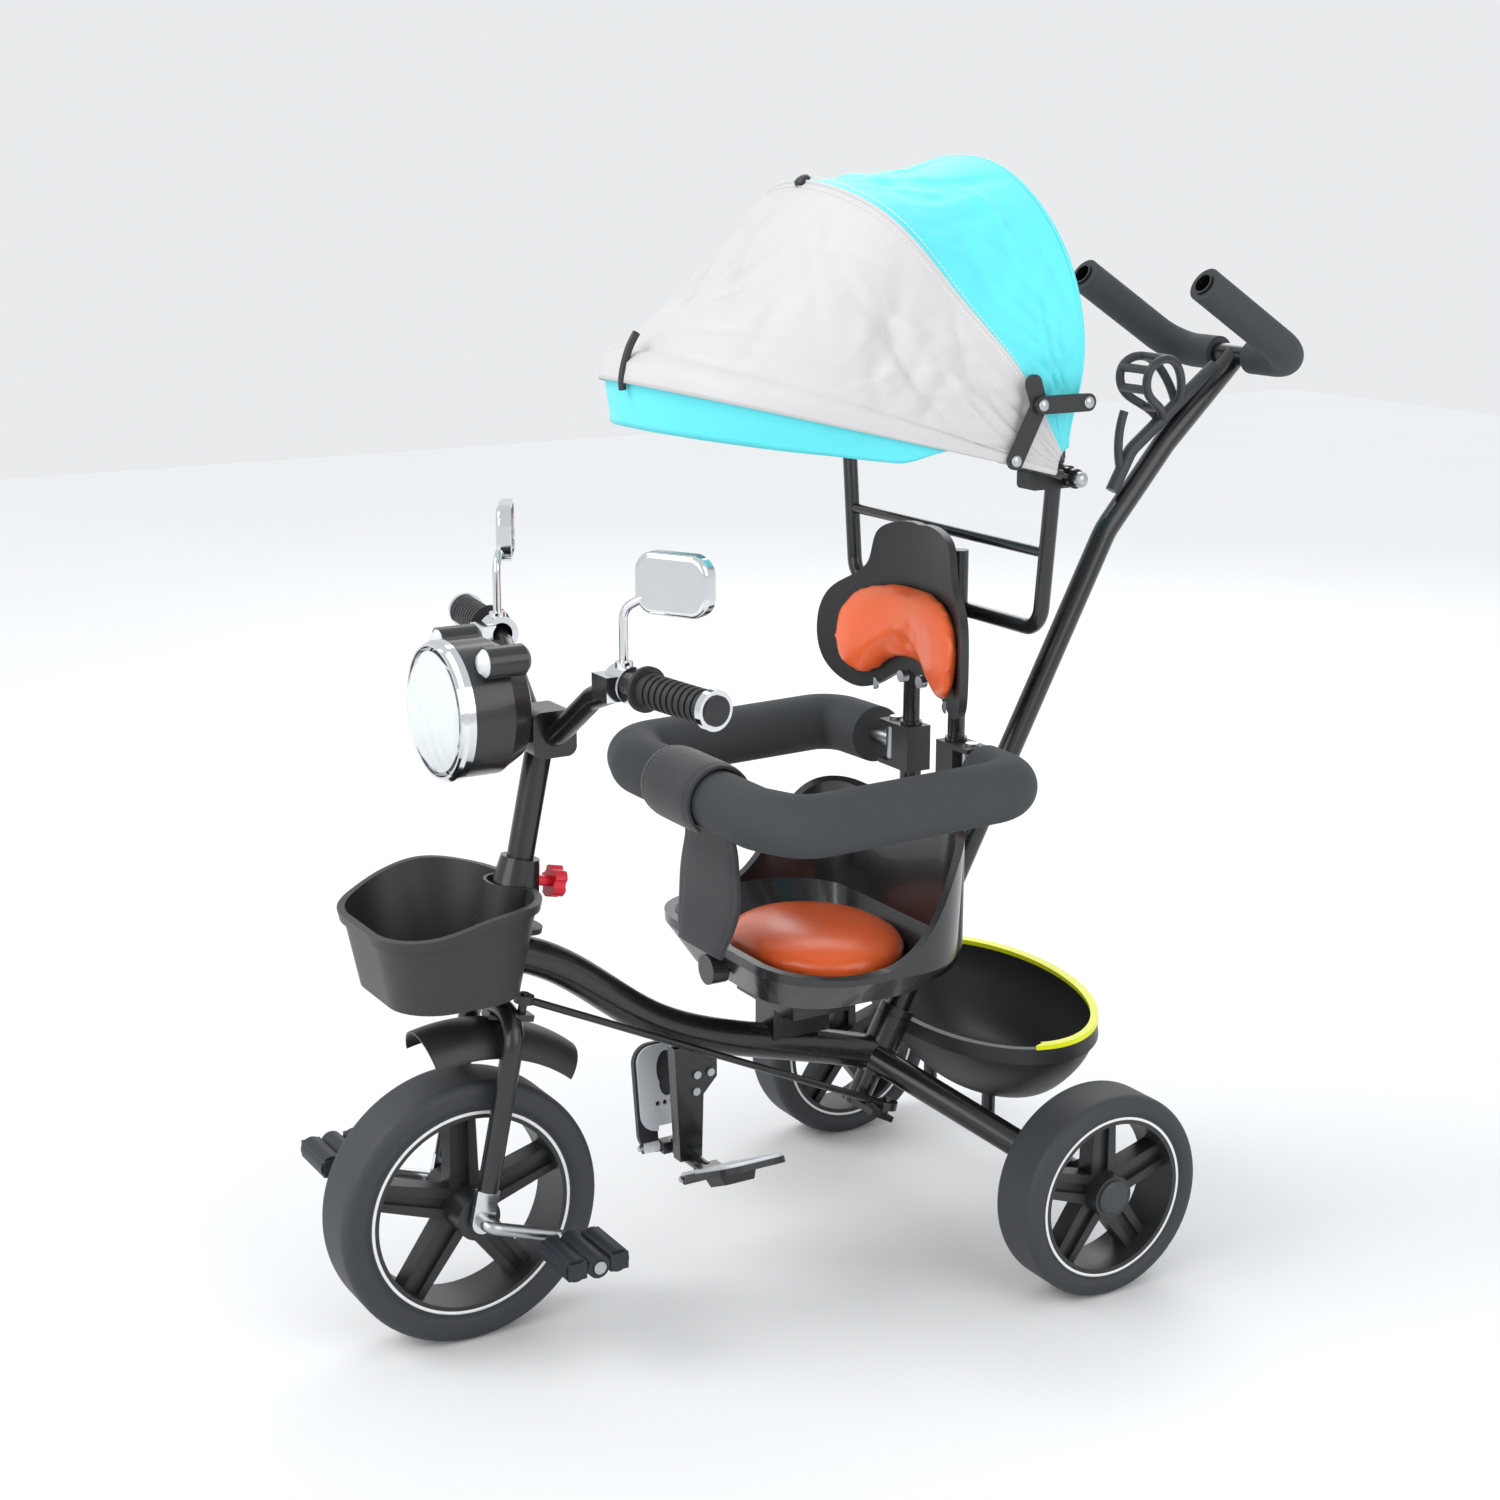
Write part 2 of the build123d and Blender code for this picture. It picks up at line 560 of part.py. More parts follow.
def headlight():
    """The round toy headlight: shell, bright double rim, dish and domed lens."""
    depth = LAMP_FRONT - LAMP_BACK
    axis = (0, LAMP_BACK, LAMP_Z)
    shell = [(0, 0), (34, 0), (50, -8), (LAMP_R, -28), (LAMP_R, depth), (LAMP_R - 3, depth), (LAMP_R - 3, -29),
             (48, -11), (33, -3), (0, -3)]
    housing = turned(shell, axis)
    rim_ring = [(LAMP_R - 3, depth - REST), (LAMP_R + 2, depth - REST), (LAMP_R + 2, depth - 7),
                (LAMP_R - 1, depth - 10), (LAMP_R - 1, depth - 13), (LAMP_R - 3, depth - 13)]
    save("headlight_rim", turned(rim_ring, axis))
    dish = [(0, depth + 45), (9, depth + 45), (34, depth + 30), (LAMP_R - 4, depth), (LAMP_R - 7, depth),
            (32, depth + 26), (8, depth + 41), (0, depth + 41)]
    save("headlight_reflector", turned(dish, axis))
    dome = Pos(0, depth - 13 + 72, 0) * (Sphere(90) - Sphere(87))
    cut = Pos(0, depth - 13 - 100, 0) * Rot(90, 0, 0) * Cylinder(LAMP_R - 3, 200)
    lens = Pos(*axis) * (dome & cut)
    ear_shell, ear_lens = ear_lamp()
    save("headlight_shell", housing + ear_shell + mirrored(ear_shell))
    save("lamp_lenses", group(lens, pair(ear_lens)))


def ear_lamp():
    """One of the two small round lamps on top of the headlight: its shell and its lens."""
    centre = (EAR_X * 0.72, -548, 646)
    shell = turned([(0, 0), (EAR_R, 0), (EAR_R, 36), (EAR_R - 4, 40), (0, 40)], centre)
    foot = rod((EAR_X * 0.72, -528, 646), (0, -528, LAMP_Z), 6)
    shell = shell + foot - Pos(0, -528, LAMP_Z) * Rot(90, 0, 0) * Cylinder(LAMP_R, 90)
    lens = turned([(0, -6), (EAR_R * 0.6, -4.5), (EAR_R - 1.5, -REST), (0, -REST)], centre)
    lens -= Pos(0, -528, LAMP_Z) * Rot(90, 0, 0) * Cylinder(LAMP_R + REST, 90)
    return shell, lens


# ------------------------------------------------------------------------ push handle
def horn_path():
    """The line of the two forward-swept horns and the bar that joins them."""
    half = [(HORN_HALF, *HORN_TIP), (HORN_HALF, *HORN_BACK)]
    return bent(half + [(-x, y, z) for x, y, z in reversed(half)], 34)


def handle_path():
    """The line of the handle tube: straight from the crank to a knee below the horns."""
    points = [handle_point(0, 0, -CRANK_LOW), handle_point(0, 0, HANDLE_STRAIGHT), (0, *HANDLE_KNEE),
              (0, *HORN_BACK)]
    return bent(points, HANDLE_BEND)


def push_handle():
    """The steering push handle: one bent tube from the frame sleeve to the horns."""
    tube = pipe(handle_path(), HANDLE_TUBE_R, HANDLE_TUBE_R - TUBE_WALL)
    horns = pipe(horn_path(), HORN_R)
    bore = pipe(horn_path(), HORN_R - TUBE_WALL)
    arm_x, arm_v = LINK_ARM
    crank = block((-12, arm_x + 8), (-10, arm_v + 8), (-CRANK_LOW, CRANK_T - CRANK_LOW))
    crank -= rod((0, 0, -CRANK_LOW - 1), (0, 0, CRANK_LOW), HANDLE_TUBE_R - TUBE_WALL)
    crank += rod((arm_x, arm_v, CRANK_T - CRANK_LOW), (arm_x, arm_v, CRANK_T - CRANK_LOW + 16), LINK_PIN_R)
    stop = rod((0, 0, SLEEVE_H + GAP), (0, 0, SLEEVE_H + GAP + 9), SLEEVE_R, HANDLE_TUBE_R)
    save("push_handle", tube + horns - bore + HANDLE * crank + HANDLE * stop)


def horn_grips():
    """Foam sleeves on the horns, stopping short of the open tube ends."""
    whole = horn_path()
    sleeve = pipe(whole, FOAM_GRIP_R, HORN_R)
    keep = block((26, 2 * HORN_HALF), (HORN_TIP[0] - 20, HORN_BACK[0] + 50), (800, 1000))
    tip_normal = Vector(0, HORN_TIP[0] - HORN_BACK[0], HORN_TIP[1] - HORN_BACK[1]).normalized()
    tip = Vector(HORN_HALF, *HORN_TIP)
    trim = rod(tip - tip_normal * 3, tip + tip_normal * 12, FOAM_GRIP_R + 5, HORN_R)
    left = (sleeve & keep) - trim
    save("horn_grips", pair(left))


def bottle_cage():
    """A plastic cage for a drink, clipped on the upper part of the push handle."""
    base = pipe(bent([(0, y, z) for y, z in CAGE_BASE], CAGE_BEND), CAGE_BASE_R)
    cage = base + pipe(Spline(*[(0, y, z) for y, z in CAGE_PRONG]), CAGE_R)
    ribs = [Vector(0, y, z) for y, z in CAGE_LOOP]
    for sign in SIDES.values():
        cage += pipe(Spline(*[point + Vector(sign * w, 0, 0) for point, w in zip(ribs, CAGE_SPREAD)]), CAGE_R)
    for point, w in zip(ribs[2:-1], CAGE_SPREAD[2:-1]):
        cage += rod(point - Vector(w, 0, 0), point + Vector(w, 0, 0), CAGE_R)
    save("bottle_cage", cage - pipe(handle_path(), HANDLE_TUBE_R + REST))


def link_rod():
    """The thin rod that carries the push handle's turn to the fork."""
    front, back = link_ends()
    eye = rod(front - LINK_DIR * 4, front + LINK_DIR * 4, LINK_PIN_R + 5)
    far = rod(back - LINK_DIR * 4, back + LINK_DIR * 4, LINK_PIN_R + 6)
    body = rod(front, back, LINK_R) + eye + far
    body -= rod(front - LINK_DIR * 8, front + LINK_DIR * 8, LINK_PIN_R + RUN)
    save("link_rod", body - rod(back - LINK_DIR * 8, back + LINK_DIR * 8, LINK_PIN_R + LINK_OPEN_GAP))


def link_ends():
    """The middles of the link rod's two eyes."""
    return head_point(*LINK_ARM, CROWN_S + LINK_RISE), handle_point(*LINK_ARM, CRANK_T - CRANK_LOW + 9)


# ------------------------------------------------------------------------ seat
def seat_rails():
    """Two bent tubes: rails below the seat that rise behind it as sockets."""
    line = bent([(POST_X, -236, RAIL_Z), (POST_X, POST_Y, RAIL_Z), (POST_X, POST_Y, SOCKET_TOP)], 26)
    tube = pipe(line, SOCKET_R, POST_R)
    tie = rod((-POST_X, TIE_Y, RAIL_Z), (POST_X, TIE_Y, RAIL_Z), SOCKET_R - 2)
    rails = tube + mirrored(tube) + (tie - pipe(line, SOCKET_R) - mirrored(pipe(line, SOCKET_R)))
    save("seat_rails", rails)


def seat_saddle():
    """The saddle welded on the beam, which carries the seat rails."""
    wide = POST_X + SOCKET_R + 4
    saddle = block((-wide, wide), (-236, -172), (228, RAIL_Z + 4))
    inner = POST_X - SOCKET_R - 4
    saddle -= block((-inner, inner), (-226, -182), (RAIL_Z - 30, RAIL_Z + 5))
    saddle -= block((-wide - 1, -BEAM_R), (-240, -160), (220, RAIL_Z - SOCKET_R - 8))
    saddle -= block((BEAM_R, wide + 1), (-240, -160), (220, RAIL_Z - SOCKET_R - 8))
    for sign in SIDES.values():
        saddle -= rod((sign * POST_X, -260, RAIL_Z), (sign * POST_X, -120, RAIL_Z), SOCKET_R)
    return saddle - rod((-POST_X, TIE_Y, RAIL_Z), (POST_X, TIE_Y, RAIL_Z), SOCKET_R - 2)


def rounded_prism(half, front, back, corner, z):
    """A flat rounded outline at height z, for lofting a bucket."""
    return Pos(0, (front + back) / 2, z) * RectangleRounded(2 * half, back - front, corner)


def seat_bucket(inset, floor):
    """The flared solid shape of the seat bucket, smaller by the inset."""
    low = rounded_prism(118 - inset, SEAT_FRONT + 22 + inset, SEAT_BACK - 20 - inset, 62 - inset, floor)
    high = rounded_prism(SEAT_HALF - inset, SEAT_FRONT + inset, SEAT_BACK - inset, 84 - inset, SEAT_TOP + 20)
    mid = rounded_prism(SEAT_HALF - 8 - inset, SEAT_FRONT + 4 + inset, SEAT_BACK - 4 - inset, 82 - inset, floor + 34)
    return loft([low, mid]) + loft([mid, high])


def seat():
    """The moulded bucket seat with its thick rim, and the round cushion in it."""
    below = side_profile(SEAT_RIM_LINE, 200)
    shell = seat_bucket(0, SEAT_FLOOR) - seat_bucket(SEAT_WALL, SEAT_FLOOR + 10)
    boss = rod((0, SEAT_FRONT + 14, 308), (0, SEAT_FRONT - 4, 308), 15) - seat_bucket(0, SEAT_FLOOR)
    save("seat_shell", (shell & below) + boss)
    pad = Pos(0, CUSHION_Y, SEAT_FLOOR + 10 + REST) * extrude(Ellipse(*CUSHION), amount=CUSHION_T)
    pad = fillet(pad.edges().group_by(Axis.Z)[-1], 11)
    save("seat_cushion", pad & seat_bucket(SEAT_WALL + 2, SEAT_FLOOR + 10))


def back_outline(points):
    """A symmetric outline seen from the front, from its half points (x, z)."""
    half = Spline(*[(x, 0, z) for x, z in points])
    other = Spline(*[(-x, 0, z) for x, z in points])
    return make_face(half + other)


def backrest():
    """A curved back shell with a head tab, its pad, the posts and the bolts."""
    centre_y = BACK_FACE_Y - BACK_CURVE
    drum = Pos(0, centre_y, 620)
    shell = drum * (Cylinder(BACK_CURVE + BACK_SHELL_T, 300) - Cylinder(BACK_CURVE, 300))
    cut = extrude(back_outline(BACK_HALF), amount=200, both=True)
    save("backrest_shell", shell & cut & block((-200, 200), (-200, 0), (500, 760)))
    pad_drum = drum * (Cylinder(BACK_CURVE - REST, 300) - Cylinder(BACK_CURVE - BACK_PAD_T, 300))
    pad_cut = extrude(back_outline(PAD_HALF), amount=200, both=True)
    save("backrest_cushion", pad_drum & pad_cut & block((-200, 200), (-200, 0), (500, 760)))
    post = rod((POST_X, POST_Y, 440), (POST_X, POST_Y, 700), POST_R)
    crossbars = rod((-200, FRAME_Y, 641), (200, FRAME_Y, 641), CANOPY_FRAME_R)
    crossbars += rod((-200, FRAME_Y, 714), (200, FRAME_Y, 714), 5)
    save("backrest_posts", pair(post - crossbars - shell))
    bolt = rod((62, BACK_FACE_Y - 2, 552), (62, BACK_FACE_Y - 9, 552), 6)
    bolts = [bolt, Pos(-46, 0, 16) * bolt]
    return group(*[half - shell for one in bolts for half in (one, mirrored(one))])


# ------------------------------------------------------------------------ guard ring
def guard_line():
    """The centre line of the left guard arm, from its pivot to the front split."""
    return bent([(GUARD_PIVOT_X, POST_Y, GUARD_Z), (GUARD_HALF, -58, GUARD_Z + 5),
                 (GUARD_HALF, -292, GUARD_Z), (112, GUARD_FRONT, GUARD_Z), (GUARD_SPLIT, GUARD_FRONT, GUARD_Z)], 34)


def guard_arms():
    """Padded arms that swing apart at the front, on pins behind the seat."""
    line = guard_line()
    knuckle = Pos(GUARD_PIVOT_X, POST_Y, GUARD_Z) * Cylinder(10, 35)
    pin_hole = Pos(GUARD_PIVOT_X, POST_Y, GUARD_Z) * Cylinder(4 + RUN, 60)
    core = pipe(line, GUARD_CORE_R) + knuckle - pin_hole
    near = Pos(GUARD_PIVOT_X, POST_Y, GUARD_Z) * Box(56, 90, 90)
    foam = pipe(line, GUARD_FOAM_R) - pipe(line, GUARD_CORE_R) - near
    bridge = rod((-GUARD_SPLIT, GUARD_FRONT, GUARD_Z), (GUARD_SPLIT - GAP, GUARD_FRONT, GUARD_Z), GUARD_CORE_R)
    pad = rod((-GUARD_SPLIT, GUARD_FRONT, GUARD_Z), (GUARD_SPLIT - GAP, GUARD_FRONT, GUARD_Z), GUARD_FOAM_R,
              GUARD_CORE_R)
    save("guard_core_left", core)
    save("guard_foam_left", foam)
    save("guard_core_right", mirrored(core) + bridge)
    save("guard_foam_right", mirrored(foam) + pad)


def guard_brackets():
    """Clamps on the seat posts with a fork for each guard arm, and the pins."""
    body = block((POST_X - 14, GUARD_PIVOT_X + 11), (POST_Y - 14, POST_Y + 14), (GUARD_Z - 23, GUARD_Z + 23))
    slot = block((GUARD_PIVOT_X - 13, GUARD_PIVOT_X + 20), (POST_Y - 20, POST_Y + 20),
                 (GUARD_Z - 17.5 - GAP, GUARD_Z + 17.5 + GAP))
    body -= slot
    body -= rod((POST_X, POST_Y, 400), (POST_X, POST_Y, 560), SOCKET_R)
    pin_low = (GUARD_PIVOT_X, POST_Y, GUARD_Z - 23)
    pin = rod(pin_low, (GUARD_PIVOT_X, POST_Y, GUARD_Z + 23 + REST), 4)
    head = rod((GUARD_PIVOT_X, POST_Y, GUARD_Z + 23 + REST), (GUARD_PIVOT_X, POST_Y, GUARD_Z + 26), 6.5)
    save("guard_brackets", pair(body - pin))
    return pair(pin + head)


def crotch_strap():
    """The padded strap that wraps the ring and drops between the child's legs."""
    wrap = rod((-STRAP_HALF, GUARD_FRONT, GUARD_Z), (STRAP_HALF, GUARD_FRONT, GUARD_Z), GUARD_FOAM_R + 7,
               GUARD_FOAM_R)
    drop = block((-STRAP_HALF, STRAP_HALF), (GUARD_FRONT - 8, GUARD_FRONT - 8 + STRAP_T), (326, GUARD_Z))
    drop -= rod((-60, GUARD_FRONT, GUARD_Z), (60, GUARD_FRONT, GUARD_Z), GUARD_FOAM_R + 3)
    save("crotch_strap", wrap + drop)


# ------------------------------------------------------------------------ baskets
def basket_form(inset, floor, top):
    """The flared solid shape of the front basket, smaller by the inset."""
    low = Pos(0, -578, floor) * RectangleRounded(2 * (74 - inset), 122 - 2 * inset, 44 - inset)
    high = Pos(0, -578, top) * RectangleRounded(2 * (FRONT_BASKET_HALF - inset), 164 - 2 * inset, 76 - inset)
    return loft([low, high])


def front_basket():
    """The moulded front basket with a rolled rim, notched round the head tube."""
    floor, top = FRONT_BASKET_FLOOR, FRONT_BASKET_TOP
    notch = rod(head_point(0, 0, 150), head_point(0, 0, 400), COLLAR_R_LOW + 2)
    wall = rod(head_point(0, 0, 150), head_point(0, 0, 400), COLLAR_R_LOW + 2 + BASKET_WALL)
    beam_gap = pipe(Spline(*[(0, y, z) for y, z in BEAM_LINE]), BEAM_R + 2)
    below = side_profile(FRONT_RIM_LINE, 200)
    under_rim = side_profile([(y, z - 9) for y, z in FRONT_RIM_LINE], 200)
    inner = basket_form(BASKET_WALL, floor + BASKET_WALL, top) - wall
    body = (basket_form(0, floor, top) - inner) & below
    roll = ((basket_form(-4, floor, top) - basket_form(0, floor, top)) & below) - under_rim
    body = body + roll - notch - beam_gap
    ear = HEAD * Pos(0, 0, HEAD_TUBE_TOP - 12) * Cylinder(COLLAR_R_LOW + 6, 5)
    ear -= rod(head_point(0, 0, 150), head_point(0, 0, 400), HEAD_TUBE_R + REST)
    save("front_basket", body + ear)


def bowl(inset, lift):
    """The deep oval bowl of the rear basket about its rim plane, smaller by the inset."""
    a, b = REAR_BASKET
    steps = [(0, 1.0), (-20, 0.985), (-48, 0.86), (-76, 0.66), (-REAR_BASKET_DEPTH + lift, 0.42)]
    rings = [Pos(0, 0, z) * Ellipse(a * k - inset, b * k - inset) for z, k in steps]
    return loft(rings)


def rear_basket():
    """The oval bowl between the rear wheels, with a rim band and a bright edge strip."""
    a, b = REAR_BASKET
    place = Pos(0, *REAR_BASKET_CENTRE) * Rot(REAR_BASKET_TILT, 0, 0)
    body = bowl(0, 0) - bowl(BASKET_WALL, BASKET_WALL)
    band = extrude(Ellipse(a + 3, b + 3) - Ellipse(a - 1, b - 1), amount=-17)
    body = body + (band - bowl(BASKET_WALL, BASKET_WALL))
    save("rear_basket", place * body)
    ring = extrude(Ellipse(a + 5, b + 5) - Ellipse(a - BASKET_WALL, b - BASKET_WALL), amount=5)
    front = block((-a * 0.93, a * 0.93), (-2 * b, -b * 0.36), (-20, 20))
    save("rear_basket_trim", place * Pos(0, 0, REST) * (ring - front))


def basket_post():
    """A short post on the axle tube that the rear basket stands on."""
    place = Pos(0, *REAR_BASKET_CENTRE) * Rot(REAR_BASKET_TILT, 0, 0)
    post = rod((52, 0, REAR_WHEEL_R + 4), (52, 0, 190), 7) - place * bowl(0, 0)
    return post.solids().sort_by(Axis.Z)[0]


# ------------------------------------------------------------------------ canopy
def bow_shape(foot_x, height, shoulder):
    """Half of a bow as (x, u) points: up from the pivot and over to the middle."""
    return [(foot_x, 16), (foot_x, 36), (BOW_HALF + 5, 0.35 * height), (BOW_HALF * shoulder, 0.62 * height),
            (BOW_HALF * 0.62, 0.87 * height), (BOW_HALF * 0.3, 0.975 * height), (0, height)]


REAR_BOW = bow_shape(REAR_FOOT_X, REAR_BOW_H, 0.95)
MID_BOW = bow_shape(BOW_HALF + 2, MID_BOW_H, 0.83)
FRONT_BOW = [(FRONT_FOOT_X, 16), (FRONT_FOOT_X, 40), (BOW_HALF + 6, 0.33 * FRONT_BOW_H),
             (BOW_HALF - 10, 0.6 * FRONT_BOW_H), (BOW_HALF * 0.72, 0.835 * FRONT_BOW_H),
             (BOW_HALF * 0.38, 0.958 * FRONT_BOW_H), (0, FRONT_BOW_H)]
VISOR_EDGE = [(FRONT_FOOT_X, 16), (FRONT_FOOT_X - 4, 40), (BOW_HALF, 0.31 * FRONT_BOW_H),
              (BOW_HALF - 18, 0.57 * FRONT_BOW_H), (BOW_HALF * 0.68, 0.795 * FRONT_BOW_H),
              (BOW_HALF * 0.36, 0.918 * FRONT_BOW_H), (0, 0.96 * FRONT_BOW_H)]


def bow_plane(angle):
    """The plane of a bow: X across, Y away from the pivot line, at an angle above level."""
    up = Vector(0, -math.cos(math.radians(angle)), math.sin(math.radians(angle)))
    return Plane(origin=(0, *CANOPY_PIVOT), x_dir=(1, 0, 0), z_dir=Vector(1, 0, 0).cross(up))


def bow_line(points):
    """Both halves of a bow as one smooth line in its own plane."""
    return Spline(*[(x, u, 0) for x, u in points + [(-x, u) for x, u in reversed(points[:-1])]])


def bow(points, angle, eye_x):
    """A bent bow with a flat eye on each pivot pin."""
    wire = bow_plane(angle) * pipe(bow_line(points), BOW_R)
    eye = rod((eye_x - 2, *CANOPY_PIVOT), (eye_x + 2, *CANOPY_PIVOT), 9)
    end = bow_plane(angle) * rod((eye_x, 5, 0), (points[0][0], points[0][1] + 1, 0), 2)
    body = wire + eye + mirrored(eye) + end + mirrored(end)
    return body - rod((-260, *CANOPY_PIVOT), (260, *CANOPY_PIVOT), CANOPY_PIN_R + RUN)


def skin_face(points, angle, start=SKIN_START):
    """A thin band just outside a bow and in its plane, for lofting the fabric."""
    line = bow_line(points)
    inner, outer = [], []
    for step in range(SKIN_STEPS + 1):
        at = start + (1 - 2 * start) * step / SKIN_STEPS
        along = line % at
        away = Vector(along.Y, -along.X, 0)
        inner.append(line @ at + away * (BOW_R + FABRIC_GAP))
        outer.append(line @ at + away * (BOW_R + FABRIC_GAP + FABRIC_T))
    edges = Spline(*outer) + Spline(*inner) + Line(outer[0], inner[0]) + Line(outer[-1], inner[-1])
    return bow_plane(angle) * make_face(edges)


def skin(*faces):
    """A fabric panel stretched between two bands."""
    return loft(faces, ruled=True)


def stay_points():
    """The (y, z) places where the stays are pinned to the front bow and to the rear bow."""
    front = bow_plane(FRONT_BOW_ANGLE).from_local_coords(Vector(0, STAY_FRONT_U, 0))
    rear = bow_plane(REAR_BOW_ANGLE).from_local_coords(Vector(0, STAY_REAR_U, 0))
    return (front.Y, front.Z), (rear.Y, rear.Z)


def stay_stub(point, reach):
    """A spacer on a bow and the stay's pin on its end, as far out as reach."""
    return rod((BOW_HALF + 2, *point), (STAY_X - GAP, *point), BOW_R) + rod((STAY_X - GAP, *point), (reach, *point),
                                                                        STAY_PIN_R)


def canopy_frame():
    """The welded tube frame behind the backrest with the fixed rear bow."""
    corner = (171, FRAME_Y, CANOPY_PIVOT[1] - 10)
    line = bent([corner, (157, FRAME_Y, 641), (-157, FRAME_Y, 641), (-corner[0], *corner[1:])], 24)
    frame = pipe(line, CANOPY_FRAME_R) + rod((-164, FRAME_Y, 714), (164, FRAME_Y, 714), 5)
    rear = bow_plane(REAR_BOW_ANGLE) * pipe(bow_line(REAR_BOW), BOW_R)
    knee = (corner[0], FRAME_Y, CANOPY_PIVOT[1] + 4)
    neck = rod((corner[0], FRAME_Y, CANOPY_PIVOT[1] - 12), knee, BOW_R)
    foot = rod(knee, (REAR_FOOT_X, CANOPY_PIVOT[0], CANOPY_PIVOT[1] + 17), BOW_R) + Pos(*knee) * Sphere(BOW_R)
    side = foot + neck + stay_stub(stay_points()[1], STAY_X + 2 * STAY_T + GAP)
    return frame + rear + side + mirrored(side)


def stay_bar(start, end, x):
    """A flat bar with round ends between two pivots, as thick as STAY_T."""
    body = rod((x, *start), (x + STAY_T, *start), STAY_W) + rod((x, *end), (x + STAY_T, *end), STAY_W)
    along = (Vector(0, *end) - Vector(0, *start)).normalized()
    across = Vector(0, -along.Z, along.Y) * STAY_W
    ends = [Vector(x, *start) + across, Vector(x, *end) + across, Vector(x, *end) - across,
            Vector(x, *start) - across]
    return body + Pos(STAY_T / 2, 0, 0) * extrude(make_face(Polyline(*ends, close=True)), amount=STAY_T / 2,
                                                  both=True, dir=(1, 0, 0))


def stays():
    """The levers on the front bow and the struts on the rear bow, pinned at the elbow."""
    front, rear = stay_points()
    outer = STAY_X + STAY_T + GAP
    lever = stay_bar(front, STAY_ELBOW, STAY_X) + stay_bar(STAY_ELBOW, STAY_TIP, STAY_X)
    lever -= rod((STAY_X - 1, *front), (outer, *front), STAY_PIN_R + RUN)
    lever += rod((STAY_X + STAY_T, *STAY_ELBOW), (outer + STAY_T, *STAY_ELBOW), STAY_PIN_R)
    strut = stay_bar(STAY_ELBOW, rear, outer)
    strut -= rod((STAY_X, *rear), (outer + 2 * STAY_T, *rear), STAY_PIN_R + RUN)
    strut -= rod((STAY_X, *STAY_ELBOW), (outer + 2 * STAY_T, *STAY_ELBOW), STAY_PIN_R + STAY_OPEN_GAP)
    save("canopy_levers", pair(lever))
    save("canopy_struts", pair(strut))


def canopy():
    """The folding canopy: its frame, hinge blocks, bows, fabric panels and stays."""
    pivot_y, pivot_z = CANOPY_PIVOT
    hinge = block((160, 181), (pivot_y - 36, pivot_y + 14), (pivot_z - 11, pivot_z + 9))
    hinge = fillet(hinge.edges().filter_by(Axis.X), 5)
    pin = rod((166, *CANOPY_PIVOT), (206, *CANOPY_PIVOT), CANOPY_PIN_R)
    pin_head = rod((206, *CANOPY_PIVOT), (209, *CANOPY_PIVOT), 7)
    frame = canopy_frame()
    stays()
    front_point, rear_point = stay_points()
    save("canopy_hinge_blocks", pair(hinge - pin - frame))
    save("canopy_frame", frame - pair(pin))
    save("canopy_mid_bow", bow(MID_BOW, MID_BOW_ANGLE, 188))
    stub = stay_stub(front_point, STAY_X + STAY_T)
    save("canopy_front_bow", bow(FRONT_BOW, FRONT_BOW_ANGLE, 199) + stub + mirrored(stub))
    rear, middle = skin_face(REAR_BOW, REAR_BOW_ANGLE), skin_face(MID_BOW, MID_BOW_ANGLE)
    save("canopy_rear_panel", skin(rear, middle) - rod((-STAY_X, *rear_point), (STAY_X, *rear_point), BOW_R + GAP))
    middle, front = skin_face(MID_BOW, MID_BOW_ANGLE - 1), skin_face(FRONT_BOW, FRONT_BOW_ANGLE)
    hole = rod((-STAY_X, *front_point), (STAY_X, *front_point), BOW_R + GAP)
    save("canopy_front_panel", skin(middle, front) - hole)
    hem = skin_face(FRONT_BOW, FRONT_BOW_ANGLE - 1, VISOR_START)
    save("canopy_visor", skin(hem, skin_face(VISOR_EDGE, VISOR_ANGLE, VISOR_START)))
    return pair(pin + pin_head)


# ------------------------------------------------------------------------ footrest
def footrest():
    """The bracket below the beam, its cross tube, the hinge pins and the bolts."""
    y, z = FOOT_PIVOT
    outline = Polyline((0, y - 20, 236), (0, y + 27, 236), (0, y + 27, 200), (0, y + 12, 184), (0, y + 10, z),
                       (0, y - 14, z), close=True)
    plate = extrude(make_face(outline), amount=7, both=True, dir=(1, 0, 0))
    cross = rod((-FOOT_PIVOT_X + 8, y, z), (FOOT_PIVOT_X - 8, y, z), 7)
    lug = block((FOOT_PIVOT_X - 12, FOOT_PIVOT_X), (y - FOOT_NOTCH + GAP, y + FOOT_NOTCH - GAP), (z - 6, z + 6))
    lug += rod((FOOT_PIVOT_X, y - FOOT_NOTCH + GAP, z), (FOOT_PIVOT_X, y + FOOT_NOTCH - GAP, z), 6)
    pin = rod((FOOT_PIVOT_X, y - FOOT_HALF, z), (FOOT_PIVOT_X, y + FOOT_HALF, z), 3)
    body = plate + cross + lug + mirrored(lug) - pin - mirrored(pin)
    body -= pipe(Spline(*[(0, yy, zz) for yy, zz in BEAM_LINE]), BEAM_R)
    save("footrest_bracket", body)
    heads = [rod((7 + REST, y + dy, h), (10, y + dy, h), 4) for dy, h in ((4, 206), (19, 206), (3, 189))]
    return pair(pin), group(*heads)


